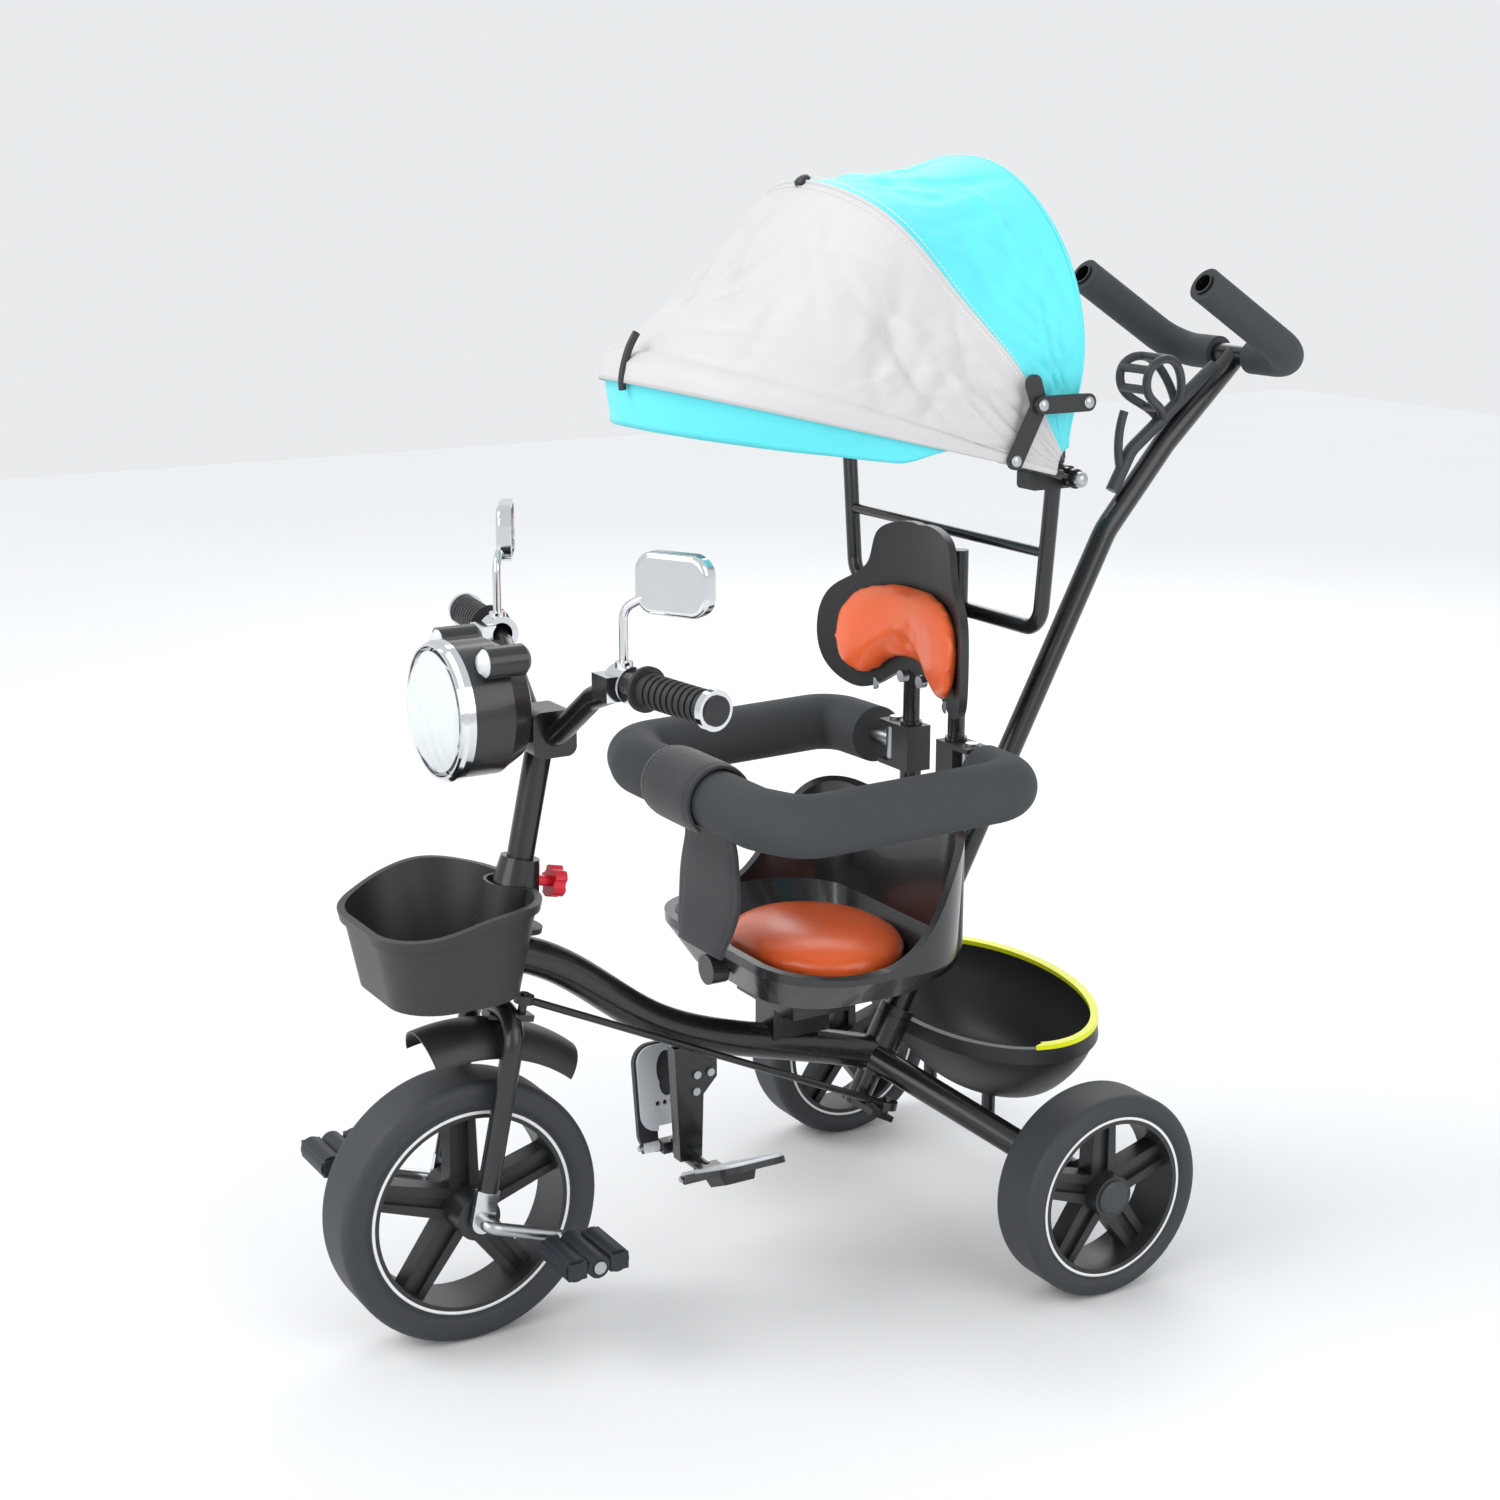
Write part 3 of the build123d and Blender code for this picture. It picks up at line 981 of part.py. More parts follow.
def foot_plate():
    """One foot plate laid level, its hinge line along Y at x = 0, reaching out to +X."""
    outline = Pos(FOOT_LENGTH / 2 - 3, 0, 0) * RectangleRounded(FOOT_LENGTH + 6, 2 * FOOT_HALF, 20)
    plate = extrude(outline, amount=FOOT_T - 3)
    plate = Pos(0, 0, -3) * plate
    knuckle = rod((0, FOOT_NOTCH, 0), (0, FOOT_HALF - 4, 0), 6)
    plate += knuckle + mirror(knuckle, about=Plane.XZ)
    boss = extrude(Pos(40, 0, -3) * RectangleRounded(44, 40, 8), amount=-10, taper=22)
    plate += boss
    plate -= block((-20, 20), (-FOOT_NOTCH, FOOT_NOTCH), (-20, 20))
    return plate - rod((0, -60, 0), (0, 60, 0), 3 + RUN)


def foot_pad():
    """The light tread on top of a foot plate, with a sole-shaped opening."""
    outline = Pos(FOOT_LENGTH / 2 + 7, 0) * RectangleRounded(FOOT_LENGTH - 18, 2 * FOOT_HALF - 5, 17)
    sole = Pos(76, 0) * Ellipse(19, 11) + Pos(62, 0) * Ellipse(13, 9)
    toes = [Pos(43, side) * Circle(2.6) for side in (-12, -4, 4, 12)]
    face = outline - sole - toes
    pad = extrude(face, amount=3)
    pad -= block((-20, 20 + GAP), (-FOOT_NOTCH, FOOT_NOTCH), (-20, 20))
    return Pos(0, 0, FOOT_T - 6 + REST) * pad


def foot_plates():
    y, z = FOOT_PIVOT
    for side, sign in SIDES.items():
        tilt = LEFT_FOOT_TILT if sign > 0 else RIGHT_FOOT_TILT
        place = Pos(FOOT_PIVOT_X, y, z) * Rot(0, -tilt, 0)
        piece = place * group(foot_plate(), foot_pad())
        save(f"foot_plate_{side}", piece if sign > 0 else group(mirrored(piece)))


# ------------------------------------------------------------------------ assembly
def build():
    os.makedirs("parts", exist_ok=True)
    front_wheel()
    rear_wheels()
    axle_nuts = rear_axle()
    main_frame()
    headset_bushes()
    fork()
    fork_tips()
    pedals(crank_spindles())
    mudguard()
    steering_collar()
    clamp_knob()
    handlebar()
    bar_fittings(grips())
    mirrors()
    headlight()
    push_handle()
    horn_grips()
    bottle_cage()
    link_rod()
    seat_rails()
    seat()
    back_bolts = backrest()
    guard_arms()
    guard_pins = guard_brackets()
    crotch_strap()
    front_basket()
    rear_basket()
    canopy_pins = canopy()
    foot_pins, foot_bolts = footrest()
    foot_plates()
    save("hinge_pins", group(guard_pins, canopy_pins, foot_pins))
    save("frame_fasteners", group(axle_nuts, back_bolts, foot_bolts))


build()
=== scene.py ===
import math

import bpy
import numpy as np
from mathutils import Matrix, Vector, noise


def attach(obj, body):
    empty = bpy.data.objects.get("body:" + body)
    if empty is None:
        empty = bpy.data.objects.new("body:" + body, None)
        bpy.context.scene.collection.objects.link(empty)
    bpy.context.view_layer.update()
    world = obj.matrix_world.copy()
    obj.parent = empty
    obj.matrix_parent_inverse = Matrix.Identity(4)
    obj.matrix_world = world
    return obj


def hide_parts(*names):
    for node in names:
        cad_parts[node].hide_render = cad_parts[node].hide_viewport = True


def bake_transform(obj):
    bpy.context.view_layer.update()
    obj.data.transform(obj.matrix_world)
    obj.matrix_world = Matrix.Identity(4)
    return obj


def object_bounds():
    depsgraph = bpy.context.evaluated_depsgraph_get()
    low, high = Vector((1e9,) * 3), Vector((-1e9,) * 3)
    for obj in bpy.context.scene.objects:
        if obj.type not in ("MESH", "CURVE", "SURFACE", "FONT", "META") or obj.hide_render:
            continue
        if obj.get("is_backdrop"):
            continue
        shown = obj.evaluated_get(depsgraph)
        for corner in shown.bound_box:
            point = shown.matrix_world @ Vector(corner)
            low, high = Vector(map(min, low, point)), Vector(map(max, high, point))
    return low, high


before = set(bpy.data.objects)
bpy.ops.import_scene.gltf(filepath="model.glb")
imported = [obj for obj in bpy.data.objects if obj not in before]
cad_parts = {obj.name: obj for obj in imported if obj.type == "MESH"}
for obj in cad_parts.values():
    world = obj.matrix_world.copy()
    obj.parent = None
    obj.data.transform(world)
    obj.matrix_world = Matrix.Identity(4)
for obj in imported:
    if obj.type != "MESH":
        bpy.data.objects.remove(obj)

# ---------------------------------------------------------------- sizes, in millimetres
# Points are measured from the rear axle line: x to the rider's left, y back, z up.
MM = 0.001
SHIFT = 171.75              # the frame's origin lies this far ahead of the rear axle
FRONT_AXLE = (-564, 127)    # y, z
REAR_AXLE_Z = 101.5
REAR_WHEEL_X = 230
CANOPY_PIVOT = (-30, 787)   # y, z
BOW_R = 4.5
REAR_ANGLE, MID_ANGLE, FRONT_ANGLE, VISOR_ANGLE = 90, 57.2, 16.4, 7.6
REAR_BOW = [(177, 16), (177, 36), (191, 95.2), (176.7, 168.6), (115.3, 236.6), (55.8, 265.2), (0, 272)]
MID_BOW = [(188, 16), (188, 36), (191, 105), (154.4, 186), (115.3, 261), (55.8, 292.5), (0, 300)]
FRONT_BOW = [(198, 16), (198, 40), (192, 117.8), (176, 214.2), (133.9, 298.1), (70.7, 342), (0, 357)]
VISOR_EDGE = [(198, 16), (194, 40), (186, 110.7), (168, 203.5), (126.5, 283.8), (67, 327.7), (0, 342.7)]
CLOTH_T = 1.3
CLOTH_GAP = 3.0
COLUMNS, ROWS, SKIN_START = 241, 57, 0.014      # grid of the canopy cloth, and where it starts along a bow
FRONT_ROWS = ROWS + 12
HEM = 20
STAY_X = 207
STAY_T = 4
STAY_FOOT, STAY_HEAD, STAY_ELBOW = (-104.8, 809.0), (-30.0, 857.0), (-80.0, 857.0)      # y, z
RIVET_GAP = 0.7             # from the outer stay to the underside of its rivet heads
PIVOT_RIVET_X = 209.1
FOOT_PIVOT = (42, 118)      # x, z
LEFT_FOOT_TILT, RIGHT_FOOT_TILT = 25, 82
TREAD_RISE = 3.01           # faces further than this above the pivot line belong to the tread
HUB_CAP_X, HUB_CAP_R = 25.9, 17.5
FRONT_LINE = (27.0, 97.6, 1.5)      # half the wheel's width, radius of the line, half its breadth
REAR_LINE = (25.0, 79.2, 1.3)
LINE_T = 0.45
RING_Y, RING_Z, RING_R = -312, 488, 29
STRAP_HALF, STRAP_T = 46, 6.5
STRAP_DROP = [(-308, 331), (-305, 347), (-300, 368), (-297, 392), (-296, 418), (-296, 440)]     # y, z
SEAT_FLOOR = 302
CUSHION_CENTRE = (0, -178)
CUSHION_HALF = (101, 83)
CUSHION_T, CUSHION_CROWN = 27, 8
BACK_CURVE, BACK_FACE_Y = 230, -62
PAD_CENTRE = (0, 618)       # x, z
PAD_T, PAD_CROWN = 15, 4
PUFF_VOXEL, PUFF_CAP = 5.0, 5.0     # grain of the swelling, and how far it may move a point
PAD_HALF = [(0, 584), (38, 577), (74, 563), (97, 575), (105, 605), (91, 639), (51, 658), (0, 662)]
MIRROR_HEAD = (167, -425, 722)
MIRROR_TURN = 28
GLASS_HALF, GLASS_CORNER = (19, 9), 13.5        # centres of the rounded corners, and their radius
GLASS_BACK, GLASS_FRONT = 4.55, 5.3

# ---------------------------------------------------------------- camera and lights, in metres and degrees
CAMERA_SPOT = (1.93874, -1.22331, 1.09348)
CAMERA_AZIMUTH, CAMERA_ELEVATION = 59.4896, 14.3011
CAMERA_LENS = 58.6
LAMPS = (("sun", "SUN", (-1.2, -2.6, 3.4), 0.5, 1.1),       # name, kind, place, size, power
         ("side", "AREA", (3.0, 0.6, 2.0), 2.4, 30),
         ("front", "AREA", (0.6, -2.8, 1.6), 2.0, 26),
         ("back", "AREA", (-2.2, 2.0, 2.4), 2.0, 30))
LAMP_TARGET = (0, 0, 0.5)
FLOOR_HALF = 6000           # millimetres


# ---------------------------------------------------------------- meshes
def place(points):
    """Points in millimetres from the rear axle line, as metres in the frame."""
    return (np.asarray(points, float).reshape(-1, 3) + (0, SHIFT, 0)) * MM


def make(name, points, faces, material, body=None, slot=None, uv=None):
    """A smooth mesh piece with its material, riding on a body when one is given."""
    mesh = bpy.data.meshes.new(name)
    mesh.from_pydata(place(points).tolist(), [], [tuple(int(i) for i in f) for f in faces])
    mesh.validate()
    for polygon in mesh.polygons:
        polygon.use_smooth = True
    if uv is not None:
        layer = mesh.uv_layers.new(name="cloth")
        for loop in mesh.loops:
            layer.data[loop.index].uv = uv[loop.vertex_index]
    mesh.materials.append(MATERIALS[material])
    piece = bpy.data.objects.new(name, mesh)
    bpy.context.scene.collection.objects.link(piece)
    if body:
        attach(piece, body)
    return piece


def grid_faces(rows, columns, first=0, ring=False, flip=False):
    """Quads of a grid of points, closed round its columns when it is a ring."""
    faces = []
    for r in range(rows - 1):
        for c in range(columns if ring else columns - 1):
            n = (c + 1) % columns
            quad = (first + r * columns + c, first + r * columns + n,
                    first + (r + 1) * columns + n, first + (r + 1) * columns + c)
            faces.append(quad[::-1] if flip else quad)
    return faces


def shell(outer, inner):
    """Points and faces of a thin closed shell between two grids of points."""
    rows, columns = outer.shape[:2]
    count = rows * columns
    faces = grid_faces(rows, columns) + grid_faces(rows, columns, count, flip=True)
    edge = ([r * columns for r in range(rows)]
            + [(rows - 1) * columns + c for c in range(1, columns)]
            + [r * columns + columns - 1 for r in range(rows - 2, -1, -1)]
            + list(range(columns - 2, 0, -1)))
    for a, b in zip(edge, edge[1:] + edge[:1]):
        faces.append((a, b, b + count, a + count))
    return np.concatenate([outer.reshape(-1, 3), inner.reshape(-1, 3)]), faces


def normals(grid):
    """Unit normals of a grid of points."""
    along_rows = np.gradient(grid, axis=0)
    along_columns = np.gradient(grid, axis=1)
    cross = np.cross(along_rows, along_columns)
    return cross / np.maximum(np.linalg.norm(cross, axis=2, keepdims=True), 1e-9)


def directions(path):
    """Unit directions along a path of points."""
    along = np.gradient(path, axis=0)
    return along / np.linalg.norm(along, axis=1, keepdims=True)


def end_fans(rows, sides):
    """Triangles that close both ends of a ringed grid onto the two points that follow it."""
    near, far, last = rows * sides, rows * sides + 1, (rows - 1) * sides
    faces = []
    for c in range(sides):
        n = (c + 1) % sides
        faces += [(near, n, c), (far, last + c, last + n)]
    return faces


def spline(points, count):
    """A smooth curve of count evenly spaced points through the given ones."""
    points = np.asarray(points, float)
    t = np.concatenate([[0], np.cumsum(np.linalg.norm(np.diff(points, axis=0), axis=1))])
    n, h = len(points), np.diff(t)
    system, right = np.zeros((n, n)), np.zeros((n, points.shape[1]))
    system[0, 0] = system[-1, -1] = 1
    for i in range(1, n - 1):
        system[i, i - 1:i + 2] = h[i - 1], 2 * (h[i - 1] + h[i]), h[i]
        right[i] = 6 * ((points[i + 1] - points[i]) / h[i] - (points[i] - points[i - 1]) / h[i - 1])
    bend = np.linalg.solve(system, right)

    def at(s):
        i = np.clip(np.searchsorted(t, s) - 1, 0, n - 2)
        a, b, w = (t[i + 1] - s)[:, None], (s - t[i])[:, None], h[i][:, None]
        return ((bend[i] * a ** 3 + bend[i + 1] * b ** 3) / (6 * w) + (points[i] / w - bend[i] * w / 6) * a
                + (points[i + 1] / w - bend[i + 1] * w / 6) * b)

    fine = at(np.linspace(0, t[-1], 20 * count))
    length = np.concatenate([[0], np.cumsum(np.linalg.norm(np.diff(fine, axis=0), axis=1))])
    return at(np.interp(np.linspace(0, length[-1], count), length, np.linspace(0, t[-1], 20 * count)))


def tube(path, radius, sides=10):
    """Points and faces of a closed round bar along a path; radius may be a list."""
    path = np.asarray(path, float)
    along = directions(path)
    up = np.cross(along[0], (0.31, 0.52, 0.79))
    rings = []
    radii = np.broadcast_to(radius, len(path))
    for point, direction, r in zip(path, along, radii):
        up = up - direction * (up @ direction)
        up /= np.linalg.norm(up)
        side = np.cross(direction, up)
        turn = np.linspace(0, 2 * math.pi, sides, endpoint=False)[:, None]
        rings.append(point + r * (np.cos(turn) * up + np.sin(turn) * side))
    points = np.concatenate(rings + [path[:1], path[-1:]])
    return points, grid_faces(len(path), sides, ring=True) + end_fans(len(path), sides)


def turned(profile, centre, axis, sides=48):
    """Points and faces of a closed solid turned from (distance along axis, radius) points."""
    axis = np.asarray(axis, float) / np.linalg.norm(axis)
    up = np.cross(axis, (0.31, 0.52, 0.79))
    up /= np.linalg.norm(up)
    side = np.cross(axis, up)
    turn = np.linspace(0, 2 * math.pi, sides, endpoint=False)[:, None]
    rings = [np.asarray(centre) + d * axis + max(r, 0.001) * (np.cos(turn) * up + np.sin(turn) * side)
             for d, r in profile]
    closed = profile[0][1] > 0.01
    faces = grid_faces(len(rings) + closed, sides, ring=True)
    total = len(rings) * sides
    return np.concatenate(rings), [[i % total for i in f] for f in faces]


# ---------------------------------------------------------------- materials
def linear(code):
    """An sRGB hex colour as linear red, green and blue."""
    values = [int(code[i:i + 2], 16) / 255 for i in (0, 2, 4)]
    return [v / 12.92 if v <= 0.04045 else ((v + 0.055) / 1.055) ** 2.4 for v in values] + [1.0]


def add(tree, kind, settings=(), **links):
    """Adds a node; settings are attributes or socket values, links feed its sockets."""
    node = tree.nodes.new(kind)
    for key, value in dict(settings).items():
        if key in node.inputs:
            node.inputs[key].default_value = value
        else:
            setattr(node, key, value)
    for key, source in links.items():
        tree.links.new(source, node.inputs[key.replace("_", " ")])
    return node


def material(name, colour, roughness, mottle=(30, 0.08), grain=(1.0, 0.05), polish=0.06, **shader):
    """A procedural finish: mottle varies colour, grain raises the surface, polish varies gloss."""
    made = bpy.data.materials.new(name)
    made.use_nodes = True
    tree = made.node_tree
    bsdf = tree.nodes["Principled BSDF"]
    place_in = add(tree, "ShaderNodeTexCoord").outputs["Object"]
    base = linear(colour)
    broad = add(tree, "ShaderNodeTexNoise", {"Scale": 1000 / mottle[0], "Detail": 4.0, "Roughness": 0.6},
                Vector=place_in)
    low = [c * (1 - mottle[1]) for c in base[:3]] + [1]
    high = [min(1, c * (1 + mottle[1])) for c in base[:3]] + [1]
    mix = add(tree, "ShaderNodeMix", {"data_type": "RGBA"})
    mix.inputs[6].default_value = low
    mix.inputs[7].default_value = high
    tree.links.new(broad.outputs["Fac"], mix.inputs[0])
    tree.links.new(mix.outputs[2], bsdf.inputs["Base Color"])
    least = max(0.02, roughness - polish)
    gloss = add(tree, "ShaderNodeMapRange", {"To Min": least, "To Max": roughness + polish},
                Value=broad.outputs["Fac"])
    tree.links.new(gloss.outputs["Result"], bsdf.inputs["Roughness"])
    fine = add(tree, "ShaderNodeTexNoise", {"Scale": 1000 / grain[0], "Detail": 3.0}, Vector=place_in)
    bump = add(tree, "ShaderNodeBump", {"Strength": 1.0, "Distance": grain[1] * MM},
               Height=fine.outputs["Fac"])
    tree.links.new(bump.outputs["Normal"], bsdf.inputs["Normal"])
    for key, value in shader.items():
        bsdf.inputs[key.replace("_", " ")].default_value = value
    return made


def woven(name, colour, roughness, pitch, height, **shader):
    """A coated cloth: the plain finish with crossing threads laid along the piece's own cloth map."""
    made = material(name, colour, roughness, mottle=(60, 0.05), grain=(14, 0.25), **shader)
    tree = made.node_tree
    bump = next(n for n in tree.nodes if n.type == "BUMP")
    cloth = add(tree, "ShaderNodeUVMap", {"uv_map": "cloth"}).outputs["UV"]
    threads = []
    for direction in ("X", "Y"):
        wave = add(tree, "ShaderNodeTexWave", {"bands_direction": direction, "Scale": 1000 / pitch / 6.283,
                                               "Distortion": 0.6, "Detail": 1.0}, Vector=cloth)
        threads.append(wave.outputs["Fac"])
    weave = add(tree, "ShaderNodeMath", {"operation": "MAXIMUM"})
    tree.links.new(threads[0], weave.inputs[0])
    tree.links.new(threads[1], weave.inputs[1])
    over = add(tree, "ShaderNodeBump", {"Strength": 1.0, "Distance": height * MM},
               Height=weave.outputs["Value"], Normal=bump.outputs["Normal"])
    tree.links.new(over.outputs["Normal"], tree.nodes["Principled BSDF"].inputs["Normal"])
    return made


MATERIALS = {
    # Black powder coat: a soft gloss with faint orange peel on the frame tubes.
    "painted_steel": material("painted_steel", "17181A", 0.27, (60, 0.15), (2.5, 0.05), Coat_Weight=0.25),
    # Chrome: near-mirror clamps, mirrors and lamp rims, with faint smears.
    "chrome_plate": material("chrome_plate", "D9DBDD", 0.10, (25, 0.04), (6, 0.02), 0.05, Metallic=1.0),
    # Zinc plate: duller silver on bolts, axles and pins.
    "zinc_steel": material("zinc_steel", "B5B8BA", 0.32, (8, 0.10), (0.8, 0.03), 0.10, Metallic=1.0),
    # EVA foam of the tyres: matt black with fine pits.
    "eva_foam_tyre": material("eva_foam_tyre", "303337", 0.60, (40, 0.14), (0.9, 0.16), 0.08),
    # White line printed at the rim's edge.
    "white_line_paint": material("white_line_paint", "EDEEEE", 0.40, (10, 0.03), (0.5, 0.01)),
    # Moulded polypropylene: satin black rims, baskets and mudguard.
    "moulded_plastic": material("moulded_plastic", "292A2C", 0.42, (35, 0.12), (0.7, 0.05),
                                Specular_IOR_Level=0.45),
    # Glossier moulding for the seat, the back shell and the lamp body.
    "gloss_plastic": material("gloss_plastic", "232426", 0.26, (45, 0.10), (1.5, 0.03), Coat_Weight=0.15),
    # Hub caps and cage: greyer plastic that reads apart from the black.
    "grey_plastic": material("grey_plastic", "36393C", 0.45, (25, 0.10), (0.8, 0.05)),
    # Pedals: matt plastic with a cold blue cast.
    "pedal_plastic": material("pedal_plastic", "1B2028", 0.52, (15, 0.12), (0.8, 0.08)),
    # Foot plate tread: pale silver grey.
    "tread_plastic": material("tread_plastic", "DADDE2", 0.38, (20, 0.05), (0.8, 0.05)),
    # The hand screw: bright red.
    "red_plastic": material("red_plastic", "D3122C", 0.28, (12, 0.06), (1.0, 0.03)),
    # The strip on the rear basket: bright yellow.
    "yellow_plastic": material("yellow_plastic", "E9EE17", 0.34, (20, 0.04), (1.0, 0.03)),
    # Coated vinyl of the cushions: orange, softly glossy, with a leather grain.
    "orange_vinyl": material("orange_vinyl", "FF6B32", 0.30, (50, 0.07), (1.1, 0.09), Coat_Weight=0.25,
                             Coat_Roughness=0.25),
    # Closed-cell foam of the guard ring and the horns: dark grey, open pores.
    "foam_sleeve": material("foam_sleeve", "3B3E41", 0.80, (30, 0.12), (1.3, 0.28), 0.05),
    # Handlebar grips: dense rubber.
    "grip_rubber": material("grip_rubber", "222326", 0.58, (12, 0.10), (0.6, 0.08)),
    # Thread for seams.
    "thread": material("thread", "E8E4DC", 0.70, (4, 0.08), (0.4, 0.05)),
    "dark_thread": material("dark_thread", "3A3C40", 0.70, (4, 0.08), (0.4, 0.05)),
    # Coated oxford cloth of the canopy: off-white front, turquoise rear and visor.
    "cream_cloth": woven("cream_cloth", "C9C7C8", 0.62, 1.4, 0.10, Sheen_Weight=0.15),
    "turquoise_cloth": woven("turquoise_cloth", "5CDDE6", 0.58, 1.4, 0.10, Sheen_Weight=0.15),
    "strap_cloth": woven("strap_cloth", "2C2E32", 0.72, 1.8, 0.20, Sheen_Weight=0.2),
    # Silvered reflector and mirror glass.
    "silvered_glass": material("silvered_glass", "E8EBED", 0.04, (40, 0.02), (20, 0.01), 0.02, Metallic=1.0),
}


def lens_material():
    """Clear moulded lens: pale, see-through, with concentric ribs that break up the reflector."""
    made = material("clear_lens", "F4F9FB", 0.16, (20, 0.02), (5, 0.10), 0.04,
                    Transmission_Weight=0.35, IOR=1.49)
    tree = made.node_tree
    ribs = add(tree, "ShaderNodeTexWave", {"bands_direction": "X", "Scale": 1000 / 7 / 6.283},
               Vector=tree.nodes["Texture Coordinate"].outputs["Object"])
    first = next(n for n in tree.nodes if n.type == "BUMP")
    bump = add(tree, "ShaderNodeBump", {"Strength": 1.0, "Distance": 0.0004}, Height=ribs.outputs["Fac"],
               Normal=first.outputs["Normal"])
    tree.links.new(bump.outputs["Normal"], tree.nodes["Principled BSDF"].inputs["Normal"])
    return made


MATERIALS["clear_lens"] = lens_material()

LOOKS = {
    "painted_steel": ["main_frame", "fork", "stem", "handlebar", "push_handle", "link_rod", "seat_rails",
                      "backrest_posts", "canopy_frame", "canopy_mid_bow", "canopy_front_bow",
                      "footrest_bracket", "steering_collar"],
    "chrome_plate": ["fork_tips", "bar_fittings", "headlight_rim", "mirror_left", "mirror_right"],
    "zinc_steel": ["rear_axle", "frame_fasteners", "hinge_pins", "front_axle_crank", "guard_core_left",
                   "guard_core_right"],
    "eva_foam_tyre": ["front_tyre", "rear_tyre_left", "rear_tyre_right"],
    "moulded_plastic": ["front_rim", "rear_rim_left", "rear_rim_right", "mudguard", "front_basket",
                        "rear_basket", "guard_brackets", "canopy_hinge_blocks", "canopy_levers",
                        "canopy_struts", "headset_bushes", "foot_plate_left", "foot_plate_right",
                        "backrest_shell"],
    "gloss_plastic": ["seat_shell", "headlight_shell"],
    "grey_plastic": ["bottle_cage"],
    "pedal_plastic": ["pedal_left", "pedal_right"],
    "red_plastic": ["clamp_knob"],
    "yellow_plastic": ["rear_basket_trim"],
    "orange_vinyl": ["seat_cushion", "backrest_cushion"],
    "foam_sleeve": ["guard_foam_left", "guard_foam_right", "horn_grips"],
    "grip_rubber": ["handlebar_grips"],
    "silvered_glass": ["headlight_reflector"],
    "clear_lens": ["lamp_lenses"],
    "cream_cloth": ["canopy_front_panel"],
    "turquoise_cloth": ["canopy_rear_panel", "canopy_visor"],
    "strap_cloth": ["crotch_strap"],
}


def dress():
    """Gives every CAD node its material."""
    for name, members in LOOKS.items():
        for node in members:
            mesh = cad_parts[node].data
            mesh.materials.clear()
            mesh.materials.append(MATERIALS[name])


def recolour(node, name, chosen):
    """Gives a second material to the faces of a CAD node whose centre passes a test."""
    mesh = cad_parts[node].data
    mesh.materials.append(MATERIALS[name])
    for polygon in mesh.polygons:
        x, y, z = polygon.center / MM
        if chosen(x, y - SHIFT, z):
            polygon.material_index = len(mesh.materials) - 1


def tread_test(sign, tilt):
    """True for points above the plate of a foot rest that is tilted up by tilt degrees."""
    lean = math.radians(tilt)
    return lambda x, y, z: (math.cos(lean) * (z - FOOT_PIVOT[1])
                            - math.sin(lean) * (sign * x - FOOT_PIVOT[0]) > TREAD_RISE)


def two_tone_parts():
    """Pale treads on the foot plates and grey caps on the rear hubs."""
    recolour("foot_plate_left", "tread_plastic", tread_test(1, LEFT_FOOT_TILT))
    recolour("foot_plate_right", "tread_plastic", tread_test(-1, RIGHT_FOOT_TILT))
    for node, sign in (("rear_rim_left", 1), ("rear_rim_right", -1)):
        recolour(node, "grey_plastic",
                 lambda x, y, z, s=sign: (s * x > REAR_WHEEL_X + HUB_CAP_X
                                          and math.hypot(y, z - REAR_AXLE_Z) < HUB_CAP_R))


# ---------------------------------------------------------------- canopy
def whole(points):
    """Both halves of a bow from its half (x, u) points."""
    return points + [(-x, u) for x, u in reversed(points[:-1])]


def bow_points(points, angle, count, start, lift):
    """Points just outside a bow, in its plane at an angle above level, from start to its far end."""
    flat = spline(whole(points), 400)
    along = directions(flat)
    flat = flat + lift * np.stack([along[:, 1], -along[:, 0]], axis=1)
    picks = np.linspace(start, 1 - start, count) * (len(flat) - 1)
    x = np.interp(picks, np.arange(len(flat)), flat[:, 0])
    u = np.interp(picks, np.arange(len(flat)), flat[:, 1])
    turn = math.radians(angle)
    return np.stack([x, CANOPY_PIVOT[0] - u * math.cos(turn), CANOPY_PIVOT[1] + u * math.sin(turn)], axis=1)


def creases(rows, columns, seed, depth, size, count):
    """A field of soft folds in millimetres: short ridges and dents that run mostly from bow to bow."""
    random = np.random.RandomState(seed)
    across, down = np.meshgrid(np.linspace(0, size[0], columns), np.linspace(0, size[1], rows))
    field = np.zeros((rows, columns))
    for _ in range(count):
        x, y = random.uniform(0.04, 0.96) * size[0], random.uniform(0.1, 0.9) * size[1]
        lean = random.normal(0.0, 0.75)
        length, width = random.uniform(25, 90), random.uniform(4.5, 11)
        along = (across - x) * math.sin(lean) + (down - y) * math.cos(lean)
        bow = 0.12 * random.uniform(-1, 1) * along ** 2 / length
        aside = (across - x) * math.cos(lean) - (down - y) * math.sin(lean) + bow
        height = depth * random.uniform(0.35, 1.0) * random.choice([-1.0, 0.75])
        field += height * np.exp(-(aside / width) ** 2 - (along / length) ** 2)
    return field * np.sin(np.pi * np.linspace(0, 1, rows))[:, None] ** 0.7


def cloth_map(grid):
    """Cloth coordinates in metres: along the columns and along the rows of a grid."""
    def travelled(line):
        return np.concatenate([[0], np.cumsum(np.linalg.norm(np.diff(line, axis=0), axis=1))])

    u, v = np.meshgrid(travelled(grid[grid.shape[0] // 2]), travelled(grid[:, grid.shape[1] // 2]))
    uv = np.stack([u, v], axis=2).reshape(-1, 2) * MM
    return np.concatenate([uv, uv])


def area_of(grid):
    """The area of a grid of points in square metres."""
    a, b = np.diff(grid, axis=0)[:, :-1], np.diff(grid, axis=1)[:-1]
    return float(np.linalg.norm(np.cross(a, b), axis=2).sum()) * MM * MM


